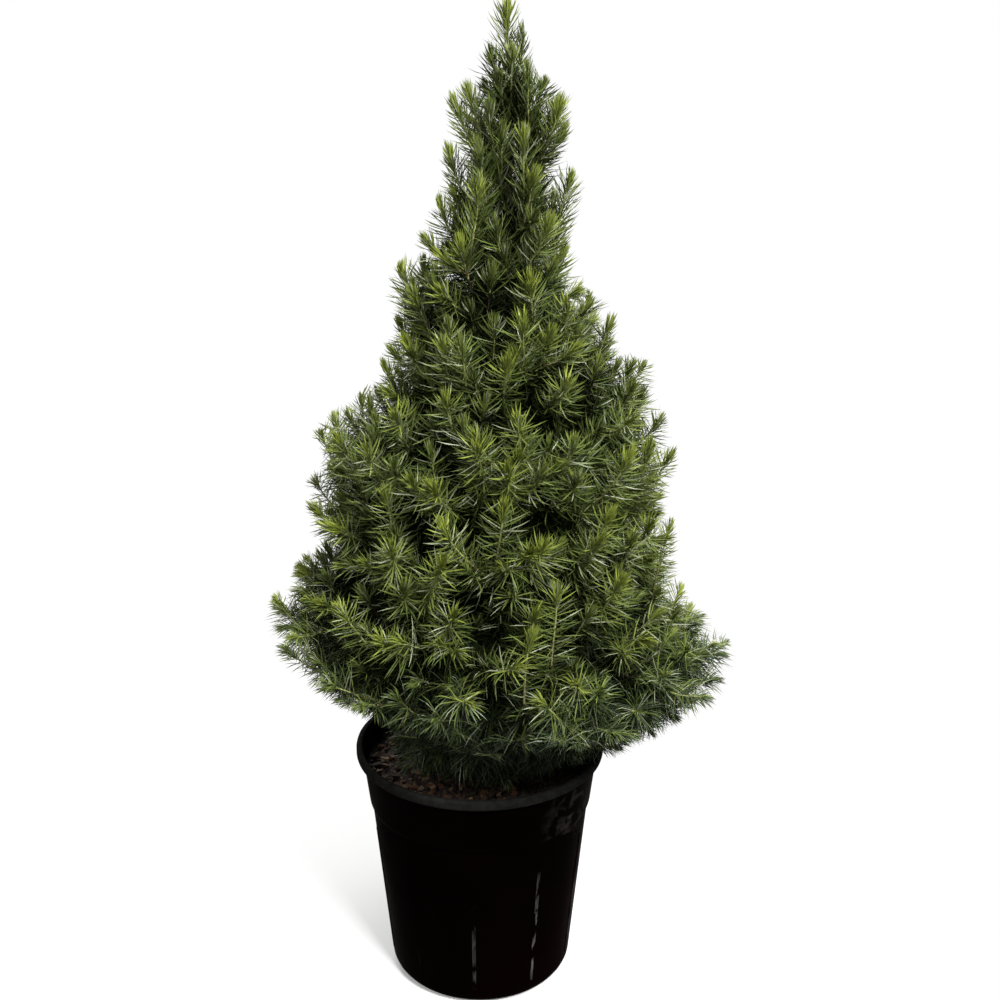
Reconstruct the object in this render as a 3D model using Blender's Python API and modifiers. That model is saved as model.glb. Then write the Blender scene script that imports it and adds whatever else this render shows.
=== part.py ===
"""A dwarf spruce in a round nursery pot, at its real size, in metres with +Z up.

The origin is the middle of the pot's flat underside. The pot, its potting mix, the trunk and
the boughs are plain solids. Each mass of foliage is one solid: a stem that grows on from its
bough, side shoots that leave it by a seeded rule, and needles that stand out of them all.
"""

import math
import random
from collections import namedtuple

import bmesh
import bpy
from mathutils import Matrix, Vector, kdtree

MM = 0.001
FULL_TURN = 2 * math.pi
CLEARANCE = 0.3 * MM
SEED = 11

# The pot is a turned shell with a lip, a collar that narrows to a step, and a tapering wall.
POT_HEIGHT = 165 * MM
RIM_RADIUS = 82.5 * MM
MOUTH_RADIUS = 78.6 * MM
LIP_DEPTH = 6.5 * MM
LIP_ROUNDING = 1 * MM
COLLAR_TOP_RADIUS = 78.6 * MM
COLLAR_FOOT_RADIUS = 74.6 * MM
COLLAR_FOOT = 127 * MM
STEP_DEPTH = 3 * MM
WALL_TOP_RADIUS = 72.9 * MM
WALL_FOOT_RADIUS = 61.8 * MM
BASE_ROUNDING = 9 * MM
WALL = 1.6 * MM
FLOOR = 2.2 * MM
POT_STEPS = 32

# The potting mix fills the pot to just under its lip, with a flat seat for the trunk.
SOIL_HEIGHT = 153 * MM
SOIL_EDGE_HEIGHT = 150 * MM
SOIL_SEAT_RADIUS = 16 * MM
SOIL_DIP = 1.5 * MM
SOIL_EDGE_DIP = 0.5 * MM

# Foliage hangs into the pot's mouth no lower than a funnel between these two radii.
RIM_FUNNEL = 70 * MM
SOIL_FUNNEL = 40 * MM

# The trunk leans a little to +X, and its tip bends back.
TRUNK_FOOT_X = 5 * MM
TRUNK_LEAN = 15 * MM
TRUNK_SWAY = 3 * MM
TRUNK_TOP = 550 * MM
TRUNK_RADIUS = 6.2 * MM
TRUNK_TIP_RADIUS = 1.7 * MM
ROOT_FLARE = 3.6 * MM
FLARE_HEIGHT = 7 * MM
FLARE_RINGS = (0, 4 * MM, 10 * MM, 20 * MM)
TRUNK_STEPS = 9
LEADER_TOP = 615 * MM
LEADER_BEND = 6 * MM

# One tier of boughs: how many, the height where they leave the trunk, the height of their tips and
# how far they reach on the -X side and on the +X side, the direction of the first, and whether
# each has a limb of its own.
Tier = namedtuple("Tier", "name count foot left_tip right_tip left_reach right_reach first limbed")
TIERS = (
    Tier("skirt", 4, 180 * MM, 196 * MM, 182 * MM, 74 * MM, 100 * MM, -18, True),
    Tier("low", 6, 206 * MM, 254 * MM, 224 * MM, 134 * MM, 150 * MM, -4, True),
    Tier("waist", 5, 240 * MM, 292 * MM, 272 * MM, 120 * MM, 137 * MM, 36, True),
    Tier("middle", 5, 282 * MM, 340 * MM, 338 * MM, 112 * MM, 112 * MM, -2, True),
    Tier("upper", 4, 322 * MM, 375 * MM, 402 * MM, 104 * MM, 101 * MM, 6, False),
    Tier("high", 4, 372 * MM, 460 * MM, 450 * MM, 66 * MM, 66 * MM, 24, False),
    Tier("shoulder", 3, 424 * MM, 502 * MM, 508 * MM, 42 * MM, 44 * MM, 2, False),
    Tier("crest", 3, 474 * MM, 535 * MM, 552 * MM, 32 * MM, 36 * MM, 62, False),
    Tier("spire", 2, 524 * MM, 579 * MM, 577 * MM, 23 * MM, 29 * MM, 4, False),
)
REACH_JITTER = 0.04
RISE_JITTER = 4 * MM
TURN_JITTER = 5
BOUGH_RISE_POWER = 1.4
LIMB_SHARE = 0.27
LIMB_RADIUS = 2.6 * MM
LIMB_TIP_RADIUS = 1.7 * MM
LIMB_POINTS = 5

# A mass is dense, so a smaller core is fused in it along its stem: a spindle with toothed faces.
CORE_SIDES = 5
CORE_RINGS = 5
CORE_START = 0.05
CORE_END = 0.80
CORE_RADIUS = 25 * MM
CORE_SLIMNESS = 0.42
CORE_WIDTH = 1.35
CORE_ROUGHNESS = 0.2
CORE_FOOT_SHARE = 0.12
CORE_FULLNESS = 0.6
CORE_END_SHARE = 0.45
THINNEST_CORE = 2.2 * MM
PULL_IN = 0.88
TOOTH_OUT = 13 * MM
TOOTH_FORWARD = 8 * MM
TOOTH_SIZES = (1.0, 0.7, 0.45)

# Shoots: a slim three-sided axis, bare at its foot and then with rings of needles.
AXIS_SIDES = 3
STEM_RADIUS = 1.6 * MM
SHOOT_RADIUS = 1.4 * MM
AXIS_TIP_SHARE = 0.6
RING_SPACING = 13 * MM
BARE_SPACING = 26 * MM
RING_TWIST = math.radians(55)
STEM_BARE_SHARE = 0.72

# Needles stand well out along a shoot and press forward round its tip.
NEEDLE_OUT = 14 * MM
NEEDLE_FORWARD = 9 * MM
TIP_NEEDLE_OUT = 6.5 * MM
TIP_NEEDLE_FORWARD = 14 * MM
TIP_START = 0.55
BUD_LENGTH = 12 * MM
NEEDLE_SIZES = (1.0, 0.6)

# Side shoots leave a stem at one angle, roll round it by turns and curl upwards.
SHOOT_ANGLE = math.radians(50)
SHOOT_CURL = 0.25
SHOOT_STEPS = 4
SHOOT_SPACING = 17 * MM
FEWEST_SHOOTS = 3
FIRST_SHOOT = 0.12
SHOOT_STRETCH = 0.76
LONGEST_SHOOT = 58 * MM
SHORTEST_SHOOT = 22 * MM
LEAST_NEEDLED = 14 * MM
SHORTENING = 0.45
FULL_STEM = 75 * MM
SHORTEST_BRANCHED = 50 * MM
SUNK_SHARE = 0.8
SHOOT_ROLLS = (80, -80, 170, 15, 115, -115)
ROLL_JITTER = 12
LENGTH_JITTER = 0.1

# How closely lines are sampled when growth is kept apart.
TRUNK_SAMPLES = 150
LIMB_SAMPLES = 16
LINE_SAMPLES = 14
STEM_STEPS = 6
LEADER_STEPS = 4

# How far each kind of growth keeps from its neighbours' space, from wood, pot and potting mix, and
# inside the outline that the tips of the tiers draw. Needles stand out of that outline.
Reserve = namedtuple("Reserve", "space solids outline")
CORE_RESERVE = Reserve(3.0 * MM, 4.7 * MM, -1 * MM)
SHOOT_RESERVE = Reserve(3.0 * MM, 3.0 * MM, -9 * MM)
NEEDLE_RESERVE = Reserve(1.5 * MM, 2.3 * MM, -13 * MM)

COLOURS = {
    "pot_plastic": ((0.012, 0.011, 0.011), 0.42),
    "potting_mix": ((0.060, 0.034, 0.022), 0.95),
    "bark": ((0.190, 0.095, 0.045), 0.85),
    "needles": ((0.070, 0.125, 0.028), 0.60),
}

Bough = namedtuple("Bough", "name foot direction reach rise limbed")
Shoot = namedtuple("Shoot", "path radius bare")


def material(name):
    """The Principled material of that name, made once."""
    found = bpy.data.materials.get(name)
    if found:
        return found
    colour, roughness = COLOURS[name]
    made = bpy.data.materials.new(name)
    made.use_nodes = True
    shader = made.node_tree.nodes["Principled BSDF"]
    shader.inputs["Base Color"].default_value = (*colour, 1)
    shader.inputs["Roughness"].default_value = roughness
    made.diffuse_color = (*colour, 1)
    return made


def clear_scene():
    """Removes the objects of the startup scene."""
    for obj in list(bpy.data.objects):
        bpy.data.objects.remove(obj)


def new_collection(name):
    """A collection of that name, linked to the scene."""
    made = bpy.data.collections.new(name)
    bpy.context.scene.collection.children.link(made)
    return made


def add_object(name, data, collection, material_name, location=(0, 0, 0)):
    """An object of that mesh or curve, placed and given its material."""
    obj = bpy.data.objects.new(name, data)
    obj.location = location
    data.materials.append(material(material_name))
    collection.objects.link(obj)
    return obj


# The pot and its filling


def pot_outside():
    """The pot's outer profile as (radius, height), from the lip down to the base."""
    lip_foot = POT_HEIGHT - LIP_DEPTH
    points = [
        (RIM_RADIUS - LIP_ROUNDING, POT_HEIGHT),
        (RIM_RADIUS, POT_HEIGHT - LIP_ROUNDING),
        (RIM_RADIUS, lip_foot + LIP_ROUNDING),
        (RIM_RADIUS - LIP_ROUNDING, lip_foot),
        (COLLAR_TOP_RADIUS, lip_foot - LIP_ROUNDING),
        (COLLAR_FOOT_RADIUS, COLLAR_FOOT),
        (WALL_TOP_RADIUS, COLLAR_FOOT - STEP_DEPTH),
    ]
    for turn in (0, 30, 60, 90):
        angle = math.radians(turn)
        radius = WALL_FOOT_RADIUS - BASE_ROUNDING * (1 - math.cos(angle))
        points.append((radius, BASE_ROUNDING * (1 - math.sin(angle))))
    return points


def pot_inside(top, gap=0.0):
    """The inner profile from the floor up to a height in the collar, or one that gap inside it."""
    inset = WALL + gap
    lip_foot = POT_HEIGHT - LIP_DEPTH
    share = (top - COLLAR_FOOT) / (lip_foot - COLLAR_FOOT)
    collar_radius = COLLAR_FOOT_RADIUS + (COLLAR_TOP_RADIUS - COLLAR_FOOT_RADIUS) * share
    return [
        (0, FLOOR + gap),
        (WALL_FOOT_RADIUS - BASE_ROUNDING, FLOOR + gap),
        (WALL_FOOT_RADIUS - inset, BASE_ROUNDING),
        (WALL_TOP_RADIUS - inset, COLLAR_FOOT - STEP_DEPTH),
        (COLLAR_FOOT_RADIUS - inset, COLLAR_FOOT),
        (collar_radius - inset, top),
    ]


def turned(name, profile, collection, material_name):
    """A solid of revolution about Z, from a profile of (radius, height) that starts and ends on the axis."""
    mesh = bpy.data.meshes.new(name)
    vertices = [(radius, 0, height) for radius, height in profile]
    mesh.from_pydata(vertices, [(i, i + 1) for i in range(len(vertices) - 1)], [])
    obj = add_object(name, mesh, collection, material_name)
    screw = obj.modifiers.new("turn", "SCREW")
    screw.axis = "Z"
    screw.steps = POT_STEPS
    screw.render_steps = POT_STEPS
    screw.use_merge_vertices = True
    screw.merge_threshold = 0.00001
    return obj


def build_pot(collection):
    """The pot: a shell turned from its profile."""
    inner = pot_inside(POT_HEIGHT - LIP_DEPTH)
    profile = inner + [(MOUTH_RADIUS, POT_HEIGHT)] + pot_outside() + [(0, 0)]
    return turned("nursery_pot", profile, collection, "pot_plastic")


def build_soil(collection):
    """The potting mix: it fills the pot, dips round the trunk's flat seat and falls to the wall."""
    inner = pot_inside(SOIL_EDGE_HEIGHT, CLEARANCE)
    edge_radius = inner[-1][0]
    top = [
        (0.8 * edge_radius, SOIL_HEIGHT - SOIL_EDGE_DIP),
        (0.5 * edge_radius, SOIL_HEIGHT - SOIL_DIP),
        (SOIL_SEAT_RADIUS, SOIL_HEIGHT),
        (0, SOIL_HEIGHT),
    ]
    profile = inner + top
    return turned("potting_soil", profile[::-1], collection, "potting_mix")


# The trunk and the boughs


def trunk_share(height):
    """How far up the trunk a height lies, from 0 at the soil to 1 at the trunk's top."""
    return (height - SOIL_HEIGHT) / (TRUNK_TOP - SOIL_HEIGHT)


def trunk_point(height):
    """The trunk's middle at a height, and on up its line past its top."""
    share = max(0.0, trunk_share(height))
    bend = LEADER_BEND * max(0.0, (height - TRUNK_TOP) / (LEADER_TOP - TRUNK_TOP))
    x = TRUNK_FOOT_X + TRUNK_LEAN * share * share * (1.6 - 0.6 * share) - bend
    y = TRUNK_SWAY * math.sin(FULL_TURN * 0.75 * share)
    return Vector((x, y, height))


def trunk_radius(height):
    """The trunk's radius at a height, with the root flare at its foot."""
    share = max(0.0, trunk_share(height))
    flare = ROOT_FLARE * math.exp(-(height - SOIL_HEIGHT) / FLARE_HEIGHT)
    return TRUNK_RADIUS + (TRUNK_TIP_RADIUS - TRUNK_RADIUS) * share + flare


def tube(name, points, radii, sides_level, collection):
    """A tapering limb as a curve with round bevels and filled caps, placed at its first point."""
    curve = bpy.data.curves.new(name, "CURVE")
    curve.dimensions = "3D"
    curve.bevel_depth = 1.0
    curve.bevel_resolution = sides_level
    curve.use_fill_caps = True
    spline = curve.splines.new("POLY")
    spline.points.add(len(points) - 1)
    for spot, point, radius in zip(spline.points, points, radii):
        spot.co = (*(point - points[0]), 1)
        spot.radius = radius
    return add_object(name, curve, collection, "bark", points[0])


def build_trunk(collection):
    """The trunk, from its flat cut on the potting mix to its tip, flared at the root."""
    heights = [SOIL_HEIGHT + CLEARANCE + rise for rise in FLARE_RINGS]
    step = (TRUNK_TOP - heights[-1]) / TRUNK_STEPS
    heights += [heights[-1] + step * (number + 1) for number in range(TRUNK_STEPS)]
    points = [trunk_point(height) for height in heights]
    points[1].xy = points[0].xy
    return tube("trunk", points, [trunk_radius(height) for height in heights], 2, collection)


def plan_boughs():
    """Every bough of the tree, from its tier and a seeded change to its direction and reach."""
    chance = random.Random(SEED)
    boughs = []
    for tier in TIERS:
        for number in range(tier.count):
            turn = tier.first + 360 * number / tier.count + chance.uniform(-TURN_JITTER, TURN_JITTER)
            angle = math.radians(turn)
            right = 0.5 + 0.5 * math.cos(angle)
            tip, reach = tier_tip(tier, right)
            reach *= 1 + chance.uniform(-REACH_JITTER, REACH_JITTER)
            tip += chance.uniform(-RISE_JITTER, RISE_JITTER)
            foot = tier.foot + chance.uniform(-RISE_JITTER, RISE_JITTER)
            direction = Vector((math.cos(angle), math.sin(angle), 0))
            name = f"{tier.name}_{number + 1}"
            boughs.append(Bough(name, foot, direction, reach, tip - foot, tier.limbed))
    return boughs


def tier_tip(tier, right):
    """The height and the reach of a tier's tips, between its -X side at 0 and its +X side at 1."""
    height = tier.left_tip + (tier.right_tip - tier.left_tip) * right
    reach = tier.left_reach + (tier.right_reach - tier.left_reach) * right
    return height, reach


def crown_reach(height, right):
    """How far the crown reaches from the trunk at a height, between the tips of its tiers."""
    rows = [tier_tip(tier, right) for tier in TIERS] + [(LEADER_TOP, 0.0)]
    for (low, wide), (high, narrow) in zip(rows, rows[1:]):
        if height < high:
            share = max(0.0, (height - low) / (high - low))
            return wide + (narrow - wide) * share
    return 0.0


def bough_point(bough, share):
    """A point on the line of a bough and its stem, from the trunk's bark at 0 to the tip at 1."""
    start = trunk_radius(bough.foot) + CLEARANCE
    out = start + (bough.reach - start) * share
    up = bough.rise * share**BOUGH_RISE_POWER
    return trunk_point(bough.foot) + bough.direction * out + Vector((0, 0, up))


def build_limb(bough, collection):
    """The woody part of a bough, one tapering limb that ends where it enters its foliage."""
    shares = [LIMB_SHARE * i / (LIMB_POINTS - 1) for i in range(LIMB_POINTS)]
    points = [bough_point(bough, share) for share in shares]
    points[1].z = points[0].z
    radii = [LIMB_RADIUS + (LIMB_TIP_RADIUS - LIMB_RADIUS) * share / LIMB_SHARE for share in shares]
    return tube(f"bough_{bough.name}", points, radii, 1, collection)


# The room that each mass of foliage keeps to


class Room:
    """Says whether a point lies in the space nearest to its own mass, clear of wood and pot."""

    def __init__(self, lines, limbs):
        self.owners = [owner for owner, line in enumerate(lines) for _ in line]
        self.tree = kdtree.KDTree(len(self.owners))
        points = [point for line in lines for point in line]
        for index, point in enumerate(points):
            self.tree.insert(point, index)
        self.tree.balance()
        self.limb_radii = [radius for _, radius in limbs]
        self.limbs = kdtree.KDTree(len(limbs))
        for index, (point, _) in enumerate(limbs):
            self.limbs.insert(point, index)
        self.limbs.balance()

    def own(self, point, owner, reserve):
        """True if the point lies that far inside the mass's own space."""
        mine = self.tree.find(point, filter=lambda i: self.owners[i] == owner)[2]
        other = self.tree.find(point, filter=lambda i: self.owners[i] != owner)[2]
        return other - mine > 2 * reserve

    def clear(self, point, reserve):
        """True if the point is clear of the trunk, the limbs, the pot and the potting mix."""
        for _, index, distance in self.limbs.find_n(point, 4):
            if distance < self.limb_radii[index] + reserve:
                return False
        inward = min(1, max(0, (RIM_FUNNEL - point.xy.length) / (RIM_FUNNEL - SOIL_FUNNEL)))
        lowest = POT_HEIGHT + (SOIL_HEIGHT - POT_HEIGHT) * inward
        return point.z > lowest + reserve

    def in_crown(self, point, reserve):
        """True if the point lies that far inside the crown's outline."""
        away = (point - trunk_point(point.z)).xy
        right = 0.5 + 0.5 * away.x / max(away.length, MM)
        return away.length < crown_reach(point.z, right) - reserve

    def holds(self, points, owner, reserve):
        """True if the mass may fill all these points."""
        return all(
            self.own(point, owner, reserve.space)
            and self.clear(point, reserve.solids)
            and self.in_crown(point, reserve.outline)
            for point in points
        )


# Foliage


class Path:
    """A smooth line through a few points, which carries straight shapes along it."""

    def __init__(self, points):
        self.points = points
        self.steps = [(b - a).length for a, b in zip(points, points[1:])]
        self.length = sum(self.steps)
        flat = (points[-1] - points[0]).xy
        self.side = Vector((-flat.y, flat.x, 0)).normalized() if flat.length > MM else Vector((1, 0, 0))

    def at(self, distance):
        """The point and the direction at a distance along the line, straight on past its ends."""
        left = distance
        for a, b, step in zip(self.points, self.points[1:], self.steps):
            direction = (b - a) / step
            if left <= step or b is self.points[-1]:
                return a + direction * left, direction
            left -= step
        raise ValueError("a path needs two points")

    def frame(self, distance):
        """The matrix that carries a straight shape's cross-section at z = distance onto the line."""
        point, direction = self.at(distance)
        reach = min(RING_SPACING / 2, distance)
        before = self.at(distance - reach)[1]
        after = self.at(distance + reach)[1]
        along = (before + direction + after).normalized()
        over = along.cross(self.side).normalized()
        side = over.cross(along)
        turned_axes = Matrix((side, over, along)).transposed().to_4x4()
        return Matrix.Translation(point) @ turned_axes @ Matrix.Translation((0, 0, -distance))


def axis_of(shoot):
    """A straight three-sided axis along +Z, in twisted rings: long where it is bare, then short."""
    shape = bmesh.new()
    length = shoot.path.length
    bare_rings = max(1, round(shoot.bare / BARE_SPACING))
    rings = bare_rings + max(2, round((length - shoot.bare) / RING_SPACING))
    bmesh.ops.create_cone(
        shape,
        cap_ends=True,
        segments=AXIS_SIDES,
        radius1=shoot.radius,
        radius2=shoot.radius * AXIS_TIP_SHARE,
        depth=rings,
        matrix=Matrix.Translation((0, 0, rings / 2)),
    )
    upright = [e for e in shape.edges if abs(e.verts[0].co.z - e.verts[1].co.z) > rings / 2]
    bmesh.ops.subdivide_edges(shape, edges=upright, cuts=rings - 1)
    for vertex in shape.verts:
        ring = vertex.co.z
        vertex.co = Matrix.Rotation(RING_TWIST * ring, 3, "Z") @ vertex.co
        if ring < bare_rings:
            vertex.co.z = shoot.bare * ring / bare_rings
        else:
            needled = (ring - bare_rings) / (rings - bare_rings)
            vertex.co.z = shoot.bare + (length - shoot.bare) * needled
    shape.normal_update()
    return shape


def needle_tip(face, shoot, share):
    """Where a needle on that face of the axis starts and ends, in the axis's straight space."""
    root = face.calc_center_median()
    near_tip = max(0.0, (root.z / shoot.path.length - TIP_START) / (1 - TIP_START))
    out = NEEDLE_OUT + (TIP_NEEDLE_OUT - NEEDLE_OUT) * near_tip
    forward = NEEDLE_FORWARD + (TIP_NEEDLE_FORWARD - NEEDLE_FORWARD) * near_tip
    away = Vector((root.x, root.y, 0)).normalized()
    return root, root + (away * out + Vector((0, 0, forward))) * share


def choose_needles(shape, shoot, room, owner):
    """Each side face of the axis that has room for a needle, with the needle's tip."""
    chosen = []
    for face in [f for f in shape.faces if abs(f.normal.z) < 0.7]:
        for share in NEEDLE_SIZES:
            root, tip = needle_tip(face, shoot, share)
            if root.z < shoot.bare:
                break
            line = [root.lerp(tip, part) for part in (0.35, 0.7, 1.0)]
            placed = [shoot.path.frame(root.z) @ point for point in line]
            if room.holds(placed, owner, NEEDLE_RESERVE):
                chosen.append((face, tip))
                break
    return chosen


def build_spray(name, shoot, room, owner):
    """A shoot as one closed mesh: its axis, carried along its line, and its needles."""
    shape = axis_of(shoot)
    chosen = choose_needles(shape, shoot, room, owner)
    bud = [f for f in shape.faces if f.normal.z > 0.7]
    chosen += [(f, Vector((0, 0, shoot.path.length + BUD_LENGTH))) for f in bud]
    for face, tip in chosen:
        root_z = min(face.calc_center_median().z, shoot.path.length)
        peak = bmesh.ops.poke(shape, faces=[face])["verts"][0]
        peak.co = shoot.path.frame(root_z) @ tip
        peak.tag = True
    for vertex in shape.verts:
        if not vertex.tag:
            vertex.co = shoot.path.frame(vertex.co.z) @ vertex.co
    bmesh.ops.triangulate(shape, faces=shape.faces, quad_method="SHORT_EDGE")
    return finished_mesh(name, shape)


def finished_mesh(name, shape):
    """A mesh from a bmesh, which it frees."""
    mesh = bpy.data.meshes.new(name)
    shape.to_mesh(mesh)
    shape.free()
    return mesh


def core_radius(path_length, share):
    """How far a mass's core reaches from its stem at a share of the core's length."""
    widest = min(CORE_RADIUS, CORE_SLIMNESS * path_length)
    return widest * math.sin(math.pi * min(1, CORE_FOOT_SHARE + share)) ** CORE_FULLNESS


def core_point(path, share, side, radius):
    """A point of a core's skin, at a share of its stem and that far to a side."""
    return path.frame(share * path.length) @ (Vector((0, 0, share * path.length)) + side * radius)


def build_core(name, path, room, owner, chance):
    """The dense inside of a mass: a spindle round its stem, toothed all over, pulled in to its room."""
    shape = bmesh.new()
    bmesh.ops.create_cone(
        shape, cap_ends=True, segments=CORE_SIDES, radius1=1, radius2=1, depth=CORE_RINGS
    )
    upright = [e for e in shape.edges if abs(e.verts[0].co.z - e.verts[1].co.z) > 1]
    bmesh.ops.subdivide_edges(shape, edges=upright, cuts=CORE_RINGS - 1)
    shape.normal_update()
    faces = {face: face.calc_center_median() for face in shape.faces if abs(face.normal.z) < 0.5}
    for vertex in shape.verts:
        ring = vertex.co.z / CORE_RINGS + 0.5
        share = CORE_START + (CORE_END - CORE_START) * ring
        side = Vector((CORE_WIDTH * vertex.co.x, vertex.co.y, 0))
        radius = core_radius(path.length, ring) * chance.uniform(1 - CORE_ROUGHNESS, 1)
        if min(ring, 1 - ring) < 0.5 / CORE_RINGS:
            radius *= CORE_END_SHARE
        while radius > THINNEST_CORE and not room.holds(
            [core_point(path, share, side, radius)], owner, CORE_RESERVE
        ):
            radius *= PULL_IN
        vertex.co = core_point(path, share, side, radius)
    shape.normal_update()
    for face, straight in faces.items():
        share = CORE_START + (CORE_END - CORE_START) * (straight.z / CORE_RINGS + 0.5)
        add_tooth(shape, face, path.at(share * path.length)[1], room, owner)
    bmesh.ops.triangulate(shape, faces=shape.faces)
    return finished_mesh(name, shape)


def add_tooth(shape, face, along, room, owner):
    """Draws one face of a core out into a tooth that leans towards the mass's tip, where there is room."""
    middle = face.calc_center_median()
    for share in TOOTH_SIZES:
        tip = middle + (face.normal * TOOTH_OUT + along * TOOTH_FORWARD) * share
        if room.holds([middle.lerp(tip, 0.5), tip], owner, NEEDLE_RESERVE):
            peak = bmesh.ops.poke(shape, faces=[face])["verts"][0]
            peak.co = tip
            return


def side_shoots(stem, room, owner, chance):
    """The side shoots that leave a stem by turns to each side and upwards, where there is room."""
    shoots = []
    if stem.length < SHORTEST_BRANCHED:
        return shoots
    count = max(FEWEST_SHOOTS, round(stem.length / SHOOT_SPACING))
    for number in range(count):
        share = FIRST_SHOOT + SHOOT_STRETCH * number / count
        root, along = stem.at(share * stem.length)
        up = (Vector((0, 0, 1)) - along * along.z).normalized()
        roll = SHOOT_ROLLS[number % len(SHOOT_ROLLS)] + chance.uniform(-ROLL_JITTER, ROLL_JITTER)
        away = Matrix.Rotation(math.radians(roll), 3, along) @ up
        start = along * math.cos(SHOOT_ANGLE) + away * math.sin(SHOOT_ANGLE)
        length = LONGEST_SHOOT * (1 - SHORTENING * share) * min(1, stem.length / FULL_STEM)
        length *= chance.uniform(1 - LENGTH_JITTER, 1 + LENGTH_JITTER)
        sunk = SUNK_SHARE * core_radius(stem.length, share)
        while length >= max(SHORTEST_SHOOT, sunk + LEAST_NEEDLED):
            points = shoot_line(root, start, length)
            if room.holds(points[1:], owner, SHOOT_RESERVE):
                shoots.append(Shoot(Path(points), SHOOT_RADIUS, sunk))
                break
            length *= PULL_IN
    return shoots


def shoot_line(root, start, length):
    """The points of a shoot that starts in one direction and curls upwards."""
    points = [root]
    direction = start.normalized()
    for _ in range(SHOOT_STEPS):
        points.append(points[-1] + direction * length / SHOOT_STEPS)
        direction = (direction + Vector((0, 0, SHOOT_CURL))).normalized()
    return points


def stem_of(points, radius):
    """The main stem of a mass as a shoot whose needles start near the core's end."""
    path = Path(points)
    return Shoot(path, radius, STEM_BARE_SHARE * path.length)


def keep_outer_skin(mesh):
    """Fills any hollow that the union sealed and drops any loose scrap: only the largest skin is kept."""
    shape = bmesh.new()
    shape.from_mesh(mesh)
    left = set(shape.faces)
    skins = []
    while left:
        skin = {left.pop()}
        reached = list(skin)
        while reached:
            face = reached.pop()
            near = {other for edge in face.edges for other in edge.link_faces} & left
            left -= near
            skin |= near
            reached += near
        skins.append(skin)
    largest = max(skins, key=len)
    bmesh.ops.delete(shape, geom=[f for f in shape.faces if f not in largest], context="FACES")
    shape.to_mesh(mesh)
    shape.free()


def join_sprays(name, meshes, foliage, scrap):
    """One solid from a mass's sprays, by one Boolean union on the collection of its side shoots."""
    body = add_object(name, meshes[0], foliage, "needles")
    for number, mesh in enumerate(meshes[1:]):
        scrap.objects.link(bpy.data.objects.new(f"{name}_shoot_{number}", mesh))
    union = body.modifiers.new("join", "BOOLEAN")
    union.operation = "UNION"
    union.operand_type = "COLLECTION"
    union.collection = scrap
    union.solver = "MANIFOLD"
    graph = bpy.context.evaluated_depsgraph_get()
    joined = bpy.data.meshes.new_from_object(body.evaluated_get(graph))
    body.modifiers.clear()
    keep_outer_skin(joined)
    body.data = joined
    joined.name = name
    for obj in list(scrap.objects):
        bpy.data.objects.remove(obj)
    return body


def mass_line(bough):
    """The points of the stem that grows on from a bough's limb, or straight from the trunk."""
    first = LIMB_SHARE if bough.limbed else 0.0
    start = bough_point(bough, first)
    if bough.limbed:
        step = bough_point(bough, first + 0.01) - start
        start = start + step.normalized() * CLEARANCE
    shares = [first + (1 - first) * (i + 1) / STEM_STEPS for i in range(STEM_STEPS)]
    points = [bough_point(bough, share) for share in shares]
    if not bough.limbed:
        points[0].z = start.z
    return [start] + points


def leader_line():
    """The points of the leader's stem, from just above the trunk's tip to the top of the tree."""
    foot = TRUNK_TOP + CLEARANCE
    step = (LEADER_TOP - foot) / LEADER_STEPS
    return [trunk_point(foot + step * i) for i in range(LEADER_STEPS + 1)]


def limb_samples(boughs):
    """Points along the trunk and the limbs, each with the wood's radius there."""
    step = (TRUNK_TOP - SOIL_HEIGHT) / TRUNK_SAMPLES
    heights = [SOIL_HEIGHT + step * i for i in range(TRUNK_SAMPLES + 1)]
    samples = [(trunk_point(height), trunk_radius(height)) for height in heights]
    for bough in boughs:
        if bough.limbed:
            shares = [LIMB_SHARE * i / LIMB_SAMPLES for i in range(LIMB_SAMPLES)]
            samples += [(bough_point(bough, share), LIMB_RADIUS) for share in shares]
    return samples


def sampled(points):
    """Evenly spaced points on a line."""
    path = Path(points)
    step = path.length / (LINE_SAMPLES - 1)
    return [path.at(step * i)[0] for i in range(LINE_SAMPLES)]


def build_foliage(boughs, foliage, scrap):
    """Every mass of foliage, each in the space nearest to its own line."""
    lines = [mass_line(bough) for bough in boughs] + [leader_line()]
    names = [bough.name for bough in boughs] + ["leader"]
    room = Room([sampled(line) for line in lines], limb_samples(boughs))
    for owner, (name, line) in enumerate(zip(names, lines)):
        chance = random.Random(SEED + owner)
        stem = stem_of(line, STEM_RADIUS)
        shoots = [stem] + side_shoots(stem.path, room, owner, chance)
        meshes = [build_spray(f"foliage_{name}", shoot, room, owner) for shoot in shoots]
        meshes.append(build_core(f"foliage_{name}", stem.path, room, owner, chance))
        join_sprays(f"foliage_{name}", meshes, foliage, scrap)


def main():
    """Builds the potted tree."""
    clear_scene()
    tree = new_collection("potted_dwarf_spruce")
    scrap = new_collection("shoots_to_join")
    build_pot(tree)
    build_soil(tree)
    build_trunk(tree)
    boughs = plan_boughs()
    for bough in boughs:
        if bough.limbed:
            build_limb(bough, tree)
    build_foliage(boughs, tree, scrap)
    bpy.data.collections.remove(scrap)


main()
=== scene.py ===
"""Dresses the potted dwarf spruce.

Needles and twigs grow on from the boughs by the same seeded rule as the solids, carried to finer
twigs. The trunk and boughs get bark, the pot its moulded wall and rolled lip, and the potting mix
its bed and bark chips. Everything is in metres with +Z up, about the middle of the pot's underside.
"""

import sys

import logging
import math
import random
from collections.abc import Callable
from dataclasses import dataclass, field
from enum import Enum

import bmesh
import bpy
import numpy as np
from mathutils import Matrix, Vector


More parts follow.
